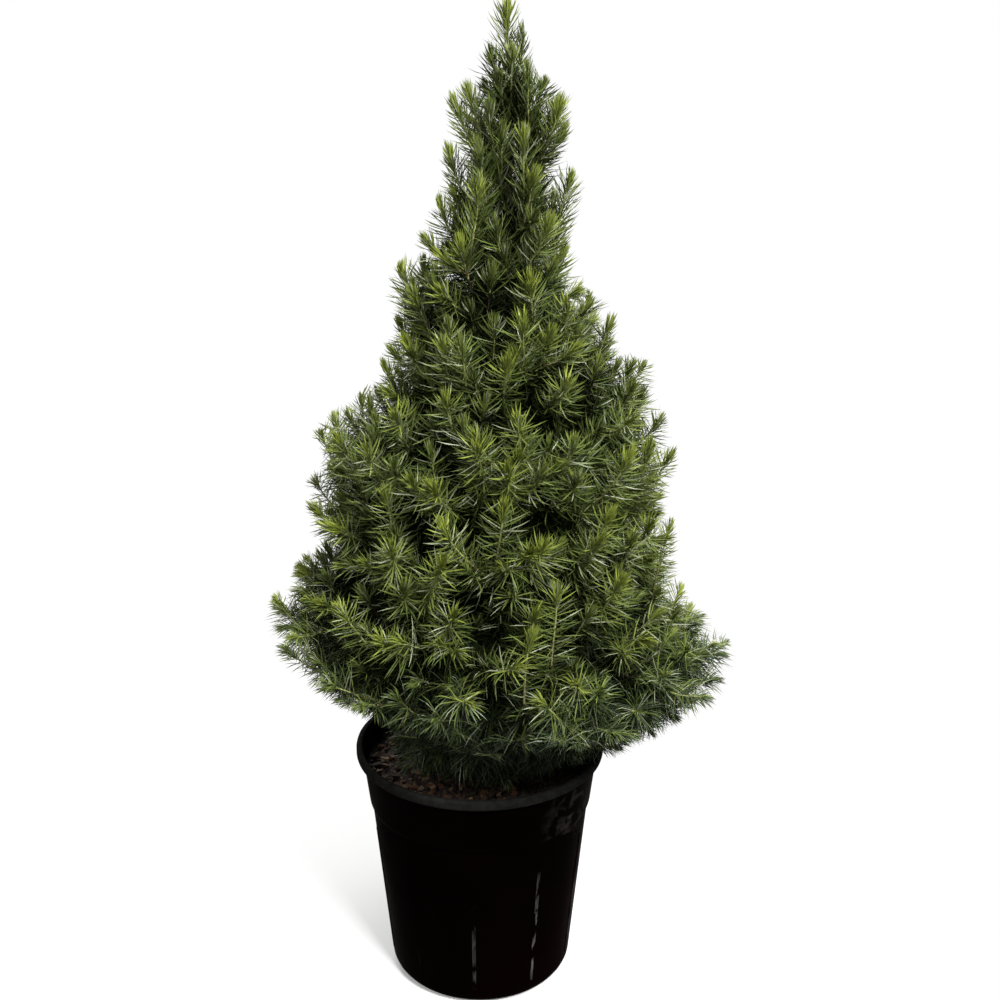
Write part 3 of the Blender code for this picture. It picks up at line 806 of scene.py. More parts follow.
    def build(self) -> None:
        """Models the bed and the chips."""
        self.build_bed()
        self.build_chips()


# The plan of the tree, by the same rule as the solids


@dataclass(frozen=True)
class Tier:
    """One tier of boughs: their number, feet, tips, reach to each side and first direction."""

    name: str
    count: int
    foot: float
    left_tip: float
    right_tip: float
    left_reach: float
    right_reach: float
    first: float
    limbed: bool


@dataclass(frozen=True)
class Bough:
    """One bough: where it leaves the trunk, where it goes and whether it has a limb."""

    name: str
    foot: float
    direction: Vector
    reach: float
    rise: float
    limbed: bool


@dataclass
class TrunkLine:
    """The trunk's line and taper."""

    ground: float = 153 * MM
    foot_x: float = 5 * MM
    lean: float = 15 * MM
    sway: float = 3 * MM
    top: float = 550 * MM
    radius: float = 6.2 * MM
    tip_radius: float = 1.7 * MM
    flare: float = 3.6 * MM
    flare_height: float = 7 * MM
    leader_top: float = 615 * MM
    leader_bend: float = 6 * MM

    def points_at(self, heights: np.ndarray) -> np.ndarray:
        """The trunk's middle at each height, one row of x, y, z for each."""
        share = np.maximum(0, (heights - self.ground) / (self.top - self.ground))
        over = np.maximum(0, (heights - self.top) / (self.leader_top - self.top))
        x = self.foot_x + self.lean * share**2 * (1.6 - 0.6 * share) - self.leader_bend * over
        y = self.sway * np.sin(1.5 * np.pi * share)
        return np.stack([x, y, heights], axis=-1)

    def point(self, height: float) -> Vector:
        """The trunk's middle at one height."""
        return Vector(self.points_at(np.array(height)))

    def radius_at(self, height: float) -> float:
        """The trunk's radius at a height, with its flare."""
        share = max(0.0, (height - self.ground) / (self.top - self.ground))
        flare = self.flare * math.exp(-(height - self.ground) / self.flare_height)
        return self.radius + (self.tip_radius - self.radius) * share + flare


def tiers() -> tuple[Tier, ...]:
    """The tiers of the crown, from the skirt over the pot to the spire, in metres."""
    rows = (
        ("skirt", 4, 180, 196, 182, 74, 100, -18, True),
        ("low", 6, 206, 254, 224, 134, 150, -4, True),
        ("waist", 5, 240, 292, 272, 120, 137, 36, True),
        ("middle", 5, 282, 340, 338, 112, 112, -2, True),
        ("upper", 4, 322, 375, 402, 104, 101, 6, False),
        ("high", 4, 372, 460, 450, 66, 66, 24, False),
        ("shoulder", 3, 424, 502, 508, 42, 44, 2, False),
        ("crest", 3, 474, 535, 552, 32, 36, 62, False),
        ("spire", 2, 524, 579, 577, 23, 29, 4, False),
    )
    return tuple(
        Tier(name, count, *(size * MM for size in sizes), first, limbed)
        for name, count, *sizes, first, limbed in rows
    )


@dataclass
class CrownPlan:
    """Where every bough goes, and how far the crown reaches."""

    trunk: TrunkLine
    tiers: tuple[Tier, ...] = field(default_factory=tiers)
    seed: int = 11
    reach_jitter: float = 0.04
    rise_jitter: float = 4 * MM
    turn_jitter: float = 5
    rise_power: float = 1.4
    limb_share: float = 0.27
    clearance: float = 0.3 * MM
    stem_steps: int = 6
    leader_steps: int = 4

    @staticmethod
    def tier_tip(tier: Tier, right: float) -> Pair:
        """The height and reach of a tier's tips, between its -X side at 0 and its +X side at 1."""
        height = tier.left_tip + (tier.right_tip - tier.left_tip) * right
        return height, tier.left_reach + (tier.right_reach - tier.left_reach) * right

    def boughs(self) -> list[Bough]:
        """Every bough, with the same seeded changes as the solids."""
        chance = random.Random(self.seed)
        made = []
        for tier in self.tiers:
            for number in range(tier.count):
                turn = tier.first + 360 * number / tier.count
                turn += chance.uniform(-self.turn_jitter, self.turn_jitter)
                angle = math.radians(turn)
                tip, reach = self.tier_tip(tier, 0.5 + 0.5 * math.cos(angle))
                reach *= 1 + chance.uniform(-self.reach_jitter, self.reach_jitter)
                tip += chance.uniform(-self.rise_jitter, self.rise_jitter)
                foot = tier.foot + chance.uniform(-self.rise_jitter, self.rise_jitter)
                direction = Vector((math.cos(angle), math.sin(angle), 0))
                name = f"{tier.name}_{number + 1}"
                made.append(Bough(name, foot, direction, reach, tip - foot, tier.limbed))
        return made

    def reach_at(self, heights: np.ndarray, right: np.ndarray) -> np.ndarray:
        """How far the crown reaches from the trunk at each height and side."""
        rows = [self.tier_tip(tier, right) for tier in self.tiers]
        rows.append((np.full_like(right, self.trunk.leader_top), np.zeros_like(right)))
        reach = np.zeros_like(heights)
        left = np.ones(heights.shape, dtype=bool)
        for (low, wide), (high, narrow) in zip(rows, rows[1:]):
            here = left & (heights < high)
            share = np.maximum(0, (heights - low) / (high - low))
            reach[here] = (wide + (narrow - wide) * share)[here]
            left &= ~here
        return reach

    def bough_point(self, bough: Bough, share: float) -> Vector:
        """A point on a bough and its stem, from the trunk's bark at 0 to the tip at 1."""
        start = self.trunk.radius_at(bough.foot) + self.clearance
        out = start + (bough.reach - start) * share
        up = Vector((0, 0, bough.rise * share**self.rise_power))
        return self.trunk.point(bough.foot) + bough.direction * out + up

    def mass_line(self, bough: Bough) -> list[Vector]:
        """The stem that grows on from a bough's limb, or straight from the trunk."""
        first = self.limb_share if bough.limbed else 0.0
        start = self.bough_point(bough, first)
        if bough.limbed:
            step = self.bough_point(bough, first + 0.01) - start
            start = start + step.normalized() * self.clearance
        count = self.stem_steps
        shares = [first + (1 - first) * (i + 1) / count for i in range(count)]
        points = [self.bough_point(bough, share) for share in shares]
        if not bough.limbed:
            points[0].z = start.z
        return [start] + points

    def leader_line(self) -> list[Vector]:
        """The leader's stem, from the trunk's tip to the top of the tree."""
        foot = self.trunk.top + self.clearance
        step = (self.trunk.leader_top - foot) / self.leader_steps
        return [self.trunk.point(foot + step * i) for i in range(self.leader_steps + 1)]


# The wood


class WoodKind(Enum):
    """The two kinds of barked wood, with their finish."""

    TRUNK = BarkFinish("bark", (0.022, 0.013, 0.008), (0.075, 0.040, 0.020), 230.0)
    BOUGH = BarkFinish("bough_bark", (0.040, 0.021, 0.010), (0.130, 0.062, 0.026), 420.0)


@dataclass
class BarkedLimb:
    """One woody limb: rings along its line, with the bark's relief raised on them."""

    name: str
    node: str
    points: list[Vector]
    radii: list[float]
    sides: int
    cuts: int
    relief: float
    relief_size: float
    material: bpy.types.Material

    def build(self) -> bpy.types.Object:
        """Models the limb and dresses it."""
        along = (self.points[-1] - self.points[0]).normalized()
        modeller = RingModeller(self.name, self.sides, self.radii[0], self.points[0], along)
        for point, radius in zip(self.points[1:], self.radii[1:]):
            modeller.go(point, radius)
        turn = modeller.piece.matrix_world.to_3x3()

        def lengthwise(one: Vector, other: Vector) -> bool:
            """Whether an edge runs along the limb."""
            return abs((turn @ (one - other)).normalized().dot(along)) > 0.6

        modeller.select("EDGE", lengthwise)
        bpy.ops.mesh.subdivide(number_cuts=self.cuts)
        piece = modeller.finish(80)
        self.raise_bark(piece)
        piece.data.materials.append(self.material)
        declare(piece, "bark", self.node)
        return piece

    def raise_bark(self, piece: bpy.types.Object) -> None:
        """Raises the bark's scales from the rings by a displacement that is then applied."""
        kept = bpy.data.textures
        scales = kept.get("bark_scales") or kept.new("bark_scales", "CLOUDS")
        scales.noise_scale = self.relief_size
        scales.noise_depth = 3
        bark = piece.modifiers.new("bark", "DISPLACE")
        bark.texture = scales
        bark.texture_coords = "LOCAL"
        bark.strength = self.relief
        bark.mid_level = 0.5
        bpy.ops.object.modifier_apply(modifier=bark.name)


@dataclass
class Wood:
    """The trunk and the boughs, up to where each enters its foliage."""

    plan: CrownPlan
    flare_rings: tuple[float, ...] = (0, 2 * MM, 4 * MM, 7 * MM, 10 * MM, 20 * MM)
    trunk_steps: int = 12
    limb_radius: float = 2.6 * MM
    limb_tip_radius: float = 1.7 * MM
    limb_points: int = 6

    def build_trunk(self, material: bpy.types.Material) -> None:
        """Models the trunk from its flat foot to its tip."""
        trunk = self.plan.trunk
        heights = [trunk.ground + self.plan.clearance + rise for rise in self.flare_rings]
        step = (trunk.top - heights[-1]) / self.trunk_steps
        heights += [heights[-1] + step * (number + 1) for number in range(self.trunk_steps)]
        points = [trunk.point(height) for height in heights]
        radii = [trunk.radius_at(height) for height in heights]
        names = ("trunk_bark", "trunk")
        BarkedLimb(*names, points, radii, 26, 9, 1.5 * MM, 5 * MM, material).build()

    def build_bough(self, bough: Bough, material: bpy.types.Material) -> None:
        """Models one bough's limb, from the trunk into its foliage."""
        share = self.plan.limb_share
        count = self.limb_points
        points = [self.plan.bough_point(bough, share * i / (count - 1)) for i in range(count)]
        drop = self.limb_radius - self.limb_tip_radius
        radii = [self.limb_radius - drop * i / (count - 1) for i in range(count)]
        names = (f"bough_bark_{bough.name}", f"bough_{bough.name}")
        BarkedLimb(*names, points, radii, 14, 3, 0.9 * MM, 3 * MM, material).build()

    def build(self) -> None:
        """Models the trunk and every bough that has a limb."""
        self.build_trunk(WoodKind.TRUNK.value.material())
        material = WoodKind.BOUGH.value.material()
        for bough in self.plan.boughs():
            if bough.limbed:
                self.build_bough(bough, material)

    def samples(self) -> np.ndarray:
        """Points along the trunk and the limbs, as rows of x, y, z and the wood's radius."""
        trunk = self.plan.trunk
        heights = np.linspace(trunk.ground, trunk.top, 151)
        rows = [(*trunk.point(height), trunk.radius_at(height)) for height in heights]
        for bough in self.plan.boughs():
            if bough.limbed:
                for i in range(16):
                    spot = self.plan.bough_point(bough, self.plan.limb_share * i / 16)
                    rows.append((*spot, self.limb_radius))
        return np.array(rows)


# Foliage


@dataclass(frozen=True)
class Reserve:
    """How far growth keeps inside its own space, from solids, and inside the crown's outline."""

    space: float
    solids: float
    outline: float


class Path:
    """A line through a few points, smoothed where shapes are carried along it."""

    def __init__(self, points: list[Vector]) -> None:
        """Measures the line."""
        self.points = points
        self.steps = [(b - a).length for a, b in zip(points, points[1:])]
        self.length = sum(self.steps)

    def at(self, distance: float) -> tuple[Vector, Vector]:
        """The point and the direction at a distance along the straight pieces."""
        left = distance
        last = len(self.steps) - 1
        for number, (a, b, step) in enumerate(zip(self.points, self.points[1:], self.steps)):
            if left <= step or number == last:
                direction = (b - a) / step
                return a + direction * left, direction
            left -= step
        raise ValueError("a path needs two points")

    def smooth(self, per_step: int = 6) -> np.ndarray:
        """Many points on a smooth curve through the line's points."""
        spots = np.array(self.points)
        ends = np.concatenate([[2 * spots[0] - spots[1]], spots, [2 * spots[-1] - spots[-2]]])
        pieces = []
        share = np.linspace(0, 1, per_step, endpoint=False)[:, None]
        for before, a, b, after in zip(ends, ends[1:], ends[2:], ends[3:]):
            square = 2 * before - 5 * a + 4 * b - after
            cube = 3 * a - before - 3 * b + after
            sum_of_four = 2 * a + (b - before) * share + square * share**2 + cube * share**3
            pieces.append(0.5 * sum_of_four)
        return np.concatenate(pieces + [spots[-1:]])


@dataclass
class Shoot:
    """One shoot: its line, thickness, bare foot, order and vigour."""

    path: Path
    foot_radius: float
    tip_radius: float
    bare: float
    order: int
    vigour: float


@dataclass
class Outline:
    """How far the needles' ends stand past the boughs' reach at each height.

    Each row holds a height and the distances on the -X side, on the +X side and between them.
    """

    rows: tuple[tuple[float, float, float, float], ...] = (
        (165, -3, -48, -10), (176, 2, -46, -6), (184, -2, -20, -4), (193, -10, 10, -3),
        (205, -12, 6, -4), (218, 2, 8, -2), (230, 10, 10, 0), (243, 13, 6, 2), (255, 9, -9, 3),
        (268, 10, -11, 0), (280, 3, -16, -3), (293, 2, -12, -5), (305, -13, -9, -3),
        (318, -3, -5, 2), (330, 0, -7, 4), (343, 7, -3, 1), (355, -3, 3, -4), (368, 1, 3, -3),
        (380, 11, 2, 2), (393, -3, -4, 4), (405, -12, -1, 0), (418, -15, 6, -4), (430, -9, -10, -4),
        (443, -12, -3, 1), (455, 0, 2, 3), (468, 9, -14, 0), (480, 8, -10, -3), (493, 5, -14, 0),
        (505, 9, -7, 3), (518, 2, 4, 0), (530, 4, 0, -2), (543, 8, -9, 0), (555, 7, -2, 2),
        (568, 9, 2, 0), (580, 12, 6, 3), (593, 14, -5, 2), (605, 6, 5, 4), (618, 8, 6, 6),
        (634, 7, 6, 6),
    )  # fmt: skip
    sharpness: float = 4

    def past(self, heights: np.ndarray, right: np.ndarray) -> np.ndarray:
        """The distance past the reach at heights, from the -X side at 0 to the +X side at 1."""
        level, left_past, right_past, between = np.array(self.rows).T * MM
        on_left, on_right = (1 - right) ** self.sharpness, right**self.sharpness
        past = np.interp(heights, level, left_past) * on_left
        past += np.interp(heights, level, right_past) * on_right
        return past + np.interp(heights, level, between) * (1 - on_left - on_right)


class Room:
    """Says whether points lie in the space of their own mass, clear of wood, pot and mix."""

    RIM_HEIGHT = 165 * MM
    MIX_DROP = 12 * MM
    MIX_EDGE = 70 * MM
    MIX_SLOPE = 30 * MM

    def __init__(self, plan: CrownPlan, lines: list[np.ndarray], wood: np.ndarray) -> None:
        """Keeps the masses' lines and the wood.

        Args:
            plan: the plan of the crown.
            lines: each mass's line as sampled points.
            wood: points in the wood with its radius there.
        """
        self.plan = plan
        self.points = np.concatenate(lines)
        self.owners = np.concatenate([np.full(len(line), i) for i, line in enumerate(lines)])
        self.wood = wood
        self.outline = Outline()

    @staticmethod
    def distances(points: np.ndarray, others: np.ndarray) -> np.ndarray:
        """The distance from each point to each of the others."""
        square = (points**2).sum(1)[:, None] + (others**2).sum(1)[None] - 2 * points @ others.T
        return np.sqrt(np.maximum(0, square))

    def own(self, points: np.ndarray, owner: int, reserve: float) -> np.ndarray:
        """True for each point that far inside the mass's own space."""
        mine = self.owners == owner
        near = self.distances(points, self.points[mine]).min(1)
        other = self.distances(points, self.points[~mine]).min(1)
        return other - near > 2 * reserve

    def owner_of(self, point: Vector) -> int:
        """The mass whose space a point lies in."""
        return int(self.owners[self.distances(np.array([point]), self.points)[0].argmin()])

    def clear(self, points: np.ndarray, reserve: float) -> np.ndarray:
        """True for each point clear of the wood, the pot and the potting mix."""
        off_wood = (self.distances(points, self.wood[:, :3]) - self.wood[:, 3]).min(1)
        out = np.hypot(points[:, 0], points[:, 1])
        inward = np.clip((self.MIX_EDGE - out) / self.MIX_SLOPE, 0, 1)
        lowest = self.RIM_HEIGHT - self.MIX_DROP * inward
        return (off_wood > reserve) & (points[:, 2] > lowest + reserve)

    def sides(self, points: np.ndarray) -> tuple[np.ndarray, np.ndarray]:
        """How far each point is from the trunk, and how far towards the +X side, from 0 to 1."""
        away = (points - self.plan.trunk.points_at(points[:, 2]))[:, :2]
        out = np.hypot(away[:, 0], away[:, 1])
        return out, 0.5 + 0.5 * away[:, 0] / np.maximum(out, MM)

    def depth(self, points: np.ndarray) -> np.ndarray:
        """How far each point lies inside the boughs' reach."""
        out, right = self.sides(points)
        return self.plan.reach_at(points[:, 2], right) - out

    def cover(self, points: np.ndarray) -> np.ndarray:
        """How far each point lies inside the outline of the needles."""
        out, right = self.sides(points)
        past = self.outline.past(points[:, 2], right)
        return self.plan.reach_at(points[:, 2], right) + past - out

    def surface(self, turns: np.ndarray, heights: np.ndarray, inside: float) -> np.ndarray:
        """The points that far inside the needles' outline, at turns and heights."""
        right = 0.5 + 0.5 * np.cos(turns)
        past = self.outline.past(heights, right)
        out = self.plan.reach_at(heights, right) + past - inside
        away = np.stack([np.cos(turns), np.sin(turns), np.zeros(len(turns))], axis=1)
        return self.plan.trunk.points_at(heights) + away * out[:, None]

    def holds(self, points: np.ndarray, owner: int, reserve: Reserve) -> np.ndarray:
        """True for each point that the mass may fill."""
        inside = self.depth(points) > reserve.outline
        return inside & self.own(points, owner, reserve.space) & self.clear(points, reserve.solids)


@dataclass(frozen=True)
class BranchRule:
    """How side shoots leave a stem: angles, rolls, spacing and lengths."""

    spacing: float = 17 * MM
    fewest: int = 3
    angle: float = 50
    curl: float = 0.25
    rolls: tuple[float, ...] = (80, -80, 170, 15, 115, -115)
    roll_jitter: float = 12
    first: float = 0.12
    stretch: float = 0.76
    longest: float = 58 * MM
    shortening: float = 0.45
    length_jitter: float = 0.1
    shortest: float = 22 * MM
    sunk_share: float = 0.8
    least_needled: float = 14 * MM
    steps: int = 4
    pull_in: float = 0.88
    reserve: Reserve = Reserve(3 * MM, 3 * MM, -9 * MM)


@dataclass
class Growth:
    """Grows each mass's stem and the side shoots that its solid has too."""

    room: Room
    rule: BranchRule = BranchRule()
    full_stem: float = 75 * MM
    shortest_branched: float = 50 * MM
    shortest_kept: float = 15 * MM
    brush: float = 7 * MM
    trim_steps: int = 24
    limb_foot: float = 1.5 * MM
    trunk_foot: float = 1.6 * MM
    side_foot: float = 0.8 * MM

    @staticmethod
    def core_radius(length: float, share: float) -> float:
        """How far the solid's dense core reaches from its stem."""
        widest = min(25 * MM, 0.42 * length)
        return widest * math.sin(math.pi * min(1, 0.12 + share)) ** 0.6

    def line(self, root: Vector, start: Vector, length: float) -> list[Vector]:
        """A shoot that starts in one direction and curls upwards."""
        points = [root]
        direction = start.normalized()
        for _ in range(self.rule.steps):
            points.append(points[-1] + direction * length / self.rule.steps)
            direction = (direction + Vector((0, 0, self.rule.curl))).normalized()
        return points

    def fit(
        self, root: Vector, start: Vector, length: float, least: float, owner: int
    ) -> Path | None:
        """The longest shoot that fits, shortened step by step, or None."""
        while length >= least:
            points = self.line(root, start, length)
            if self.room.holds(np.array(points[1:]), owner, self.rule.reserve).all():
                return Path(points)
            length *= self.rule.pull_in
        return None

    def branch(self, parent: Path, owner: int, chance: random.Random, size: float) -> list[Path]:
        """The side shoots of a stem, where there is room.

        Args:
            parent: the stem.
            owner: the mass's number.
            chance: the mass's own seeded chance.
            size: the stem's size against a full one.

        Returns:
            The lines of the shoots.
        """
        made = []
        rule = self.rule
        count = max(rule.fewest, round(parent.length / rule.spacing))
        for number in range(count):
            share = rule.first + rule.stretch * number / count
            root, along = parent.at(share * parent.length)
            up = (UP - along * along.z).normalized()
            roll = rule.rolls[number % len(rule.rolls)]
            roll += chance.uniform(-rule.roll_jitter, rule.roll_jitter)
            away = Matrix.Rotation(math.radians(roll), 3, along) @ up
            angle = math.radians(rule.angle)
            start = along * math.cos(angle) + away * math.sin(angle)
            length = rule.longest * size * (1 - rule.shortening * share)
            length *= chance.uniform(1 - rule.length_jitter, 1 + rule.length_jitter)
            sunk = rule.sunk_share * self.core_radius(parent.length, share)
            least = max(rule.shortest, sunk + rule.least_needled)
            shoot = self.fit(root, start, length, least, owner)
            if shoot:
                made.append(shoot)
        return made

    def trimmed(self, path: Path) -> Path | None:
        """The part of a shoot whose brush of needles stays within the needles' outline."""
        count = self.trim_steps
        spots = np.array([path.at(path.length * i / count)[0] for i in range(count + 1)])
        beyond = np.nonzero(self.room.cover(spots[2:]) < self.brush)[0]
        kept = path.length * ((beyond[0] + 1) / count if len(beyond) else 1)
        if kept < self.shortest_kept:
            return None
        steps = len(path.steps)
        return Path([path.at(kept * i / steps)[0] for i in range(steps + 1)])

    def mass(
        self, line: list[Vector], owner: int, seed: int, limbed: bool, leader: bool
    ) -> list[Shoot]:
        """The stem and the side shoots of one mass.

        Args:
            line: the points of its stem.
            owner: the mass's number.
            seed: the seed of its chance.
            limbed: whether its stem grows from a limb.
            leader: whether it is the leader, which keeps its whole length.

        Returns:
            The shoots, the stem first.
        """
        stem = Path(line)
        sides = []
        if stem.length >= self.shortest_branched:
            size = min(1, stem.length / self.full_stem)
            sides = self.branch(stem, owner, random.Random(seed), size)
        kept = stem if leader else self.trimmed(stem) or stem
        foot = self.limb_foot if limbed else self.trunk_foot
        made = [Shoot(kept, foot, 0.5 * MM, 0.08 * stem.length, 1, 1.0)]
        for side in sides:
            side = self.trimmed(side)
            if side:
                made.append(Shoot(side, self.side_foot, 0.4 * MM, 3 * MM, 2, 0.6))
        return made


@dataclass(frozen=True)
class Layer:
    """One layer of finer twigs under the outline: its depth, and the twigs' spacing and length."""

    near: float
    far: float
    spacing: float
    length: float
    vigour: float


@dataclass(frozen=True)
class TwigRule:
    """How a finer twig picks the wood that it grows from, and how it bends on its way.

    Wood is dearer the less its distance suits the twig, the more the twig must bend, and where it
    belongs to another mass. The twig's middle, its last quarter and its tip each keep their share
    of the distance to other twigs.
    """

    forwards: float = 0.3
    ending: float = 1.7
    length_price: float = 0.6
    bend_price: float = 45 * MM
    other_mass_price: float = 12 * MM
    longest: float = 1.6
    least_straight: float = 0.2
    least_forwards: float = 0.05
    tries: int = 12
    apart: float = 7.5 * MM
    apart_shares: Triple = (0.5, 0.8, 1.0)
    off_wood: float = 1.5 * MM
    shortest: float = 14 * MM
    second_length: float = 0.7
    tilt_jitter: float = 12


@dataclass
class Filling:
    """The finer twigs: each ends in a free place of the crown and grows from wood below it.

    The leading shoots are the strong ones whose tips stand out. Each is given by its turn round the
    trunk in degrees and the height of its tip. A recess, given in the same way, is a place where
    the outer twigs leave the crown open and its shaded inside shows.
    """

    room: Room
    seed: int
    rule: TwigRule = TwigRule()
    layers: tuple[Layer, ...] = (
        Layer(7 * MM, 14 * MM, 25 * MM, 50 * MM, 0.95),
        Layer(13 * MM, 26 * MM, 15.5 * MM, 40 * MM, 0.4),
        Layer(26 * MM, 44 * MM, 15.5 * MM, 34 * MM, 0.2),
        Layer(44 * MM, 90 * MM, 16.5 * MM, 30 * MM, 0.1),
    )
    leading: tuple[Pair, ...] = (
        (-90, 622), (-170, 611), (100, 614), (5, 606), (-81, 596), (-51, 588), (-179, 587),
        (-4, 585), (-179, 568), (-21, 568), (-5, 553), (-178, 541), (1, 541), (0, 530),
        (-179, 526), (-122, 525), (-1, 521), (179, 513),
        (-54, 505), (180, 476), (-73, 475), (-128, 468), (-49, 462), (11, 460), (-80, 455),
        (-109, 442), (-4, 441), (-119, 440), (175, 439), (-87, 432), (-61, 423), (8, 418),
        (-169, 416), (-112, 413), (-83, 406), (-134, 402), (-37, 398), (168, 394), (-65, 393),
        (-97, 393), (1, 382), (-173, 380), (-86, 379), (-76, 378), (-43, 378), (-64, 371),
        (-117, 368), (-110, 367), (-5, 360), (-87, 357), (-52, 347), (-105, 347), (177, 343),
        (-75, 337), (-56, 335), (-165, 332), (-120, 332), (-30, 331), (-42, 329), (-104, 328),
        (-8, 315), (-116, 309), (-71, 309), (-49, 308), (-165, 304), (-78, 299), (-100, 298),
        (-137, 288), (-79, 286), (179, 284), (-98, 281), (-121, 280), (-41, 275), (-83, 273),
        (2, 268), (-177, 265), (-151, 265), (-68, 262), (-62, 256), (-94, 256), (-77, 255),
        (-132, 253), (-25, 253), (-39, 252), (-10, 244), (-73, 235), (-31, 232), (-58, 231),
        (2, 230), (-106, 207), (-88, 208), (-121, 190), (-141, 189), (-134, 170),
    )  # fmt: skip
    leading_inside: float = 4 * MM
    recesses: tuple[Pair, ...] = (
        (-84, 318), (-90, 250), (-68, 277), (-113, 274), (-115, 343), (-74, 350), (-66, 312),
        (-97, 370), (-96, 437), (95, 430), (60, 345), (125, 330), (85, 285), (30, 300), (150, 280),
    )  # fmt: skip
    recess: float = 16 * MM
    recess_inside: float = 12 * MM
    leading_rise: float = 2 * MM
    corner: Triple = (-0.150, -0.150, 0.158)
    far_corner: Triple = (0.175, 0.150, 0.625)
    closer_heights: tuple[float, ...] = (0.20, 0.26, 0.42, 0.54)
    closer: tuple[float, ...] = (0.86, 1.0, 1.0, 0.85)
    tries: int = 90000
    clearance: float = 4 * MM
    root_step: float = 4 * MM
    root_start: float = 6 * MM
    outer_shares: tuple[float, ...] = (0.5, 0.66, 0.83, 1.0)
    root_share: float = 0.78
    tilt_heights: tuple[float, ...] = (0.170, 0.195, 0.225, 0.270, 0.350, 0.450, 0.600)
    tilts: tuple[float, ...] = (94, 72, 54, 38, 22, 15, 8)
    stray_heights: Pair = (0.24, 0.42)
    strays: Pair = (1.15, 0.5)

    def places(self, layer: Layer, taken: np.ndarray) -> np.ndarray:
        """Free places of a layer, evenly spread, each clear of those that are taken."""
        chance = np.random.default_rng(self.seed + round(layer.near / MM))
        spots = chance.uniform(self.corner, self.far_corner, (self.tries, 3))
        cover = self.room.cover(spots)
        here = (cover > layer.near) & (cover < layer.far) & self.room.clear(spots, self.clearance)
        turns, heights = np.array(self.recesses).T
        for open_spot in self.room.surface(np.radians(turns), heights * MM, self.recess_inside):
            here &= ((spots - open_spot) ** 2).sum(1) > self.recess**2
        kept = []
        for spot in spots[here]:
            spacing = layer.spacing * np.interp(spot[2], self.closer_heights, self.closer)
            if (((taken - spot) ** 2).sum(1) > spacing**2).all():
                taken = np.concatenate([taken, spot[None]])
                kept.append(spot)
        return np.array(kept)

    def aim(self, spot: np.ndarray, chance: random.Random) -> np.ndarray:
        """The direction of a shoot's tip: upright high in the crown, outwards at its foot."""
        tilt = float(np.interp(spot[2], self.tilt_heights, self.tilts))
        tilt += chance.uniform(-self.rule.tilt_jitter, self.rule.tilt_jitter)
        trunk = self.room.plan.trunk.point(float(spot[2]))
        stray = float(np.interp(spot[2], self.stray_heights, self.strays))
        turn = math.atan2(spot[1] - trunk.y, spot[0] - trunk.x) + chance.uniform(-stray, stray)
        flat, rise = math.sin(math.radians(tilt)), math.cos(math.radians(tilt))
        return np.array([flat * math.cos(turn), flat * math.sin(turn), rise])

    def start(self, crown: list[list[Shoot]]) -> None:
        """Takes the wood that twigs can grow from, and the outer halves of all shoots."""
        self.roots, self.ways = np.empty((0, 3)), np.empty((0, 3))
        self.owners, self.lines = np.empty(0, dtype=int), np.empty((0, 3))
        for owner, shoots in enumerate(crown):
            for shoot in shoots:
                self.add_wood(shoot.path, owner)
        plan = self.room.plan
        trunk = [plan.trunk.point(float(z)) for z in np.arange(0.165, plan.trunk.top, 0.005)]
        self.add_wood(Path(trunk), -1)
        for owner, bough in enumerate(plan.boughs()):
            if bough.limbed:
                shares = [plan.limb_share * i / 4 for i in range(5)]
                self.add_wood(Path([plan.bough_point(bough, share) for share in shares]), owner)

    def add_wood(self, path: Path, owner: int) -> None:
        """Lets twigs grow from a line, save its soft end, and keeps others off its outer half."""
        reach = path.length * self.root_share
        start = min(self.root_start, reach / 3)
        spots = [path.at(float(d)) for d in np.arange(start, reach, self.root_step)]
        self.roots = np.concatenate([self.roots, np.array([spot[0] for spot in spots])])
        self.ways = np.concatenate([self.ways, np.array([spot[1] for spot in spots])])
        self.owners = np.concatenate([self.owners, np.full(len(spots), owner)])
        if owner >= 0:
            outer = [path.at(path.length * share)[0] for share in self.outer_shares]
            self.lines = np.concatenate([self.lines, np.array(outer)])

    def bend(self, root: np.ndarray, way: np.ndarray, spot: np.ndarray, aim: np.ndarray) -> Path:
        """A smooth line that leaves its parent forwards and ends in a place in one direction."""
        away = spot - root
        length = float(np.linalg.norm(away))
        out = away / length + self.rule.forwards * way
        out = out / np.linalg.norm(out)
        end = self.rule.ending * aim + away / length
        end = end / np.linalg.norm(end)
        first, second = root + out * length / 3, spot - end * length / 3
        points = []
        for t in (0, 0.25, 0.5, 0.75, 1):
            u = 1 - t
            point = root * u**3 + first * 3 * u * u * t + second * 3 * u * t * t + spot * t**3
            points.append(Vector(point))
        return Path(points)

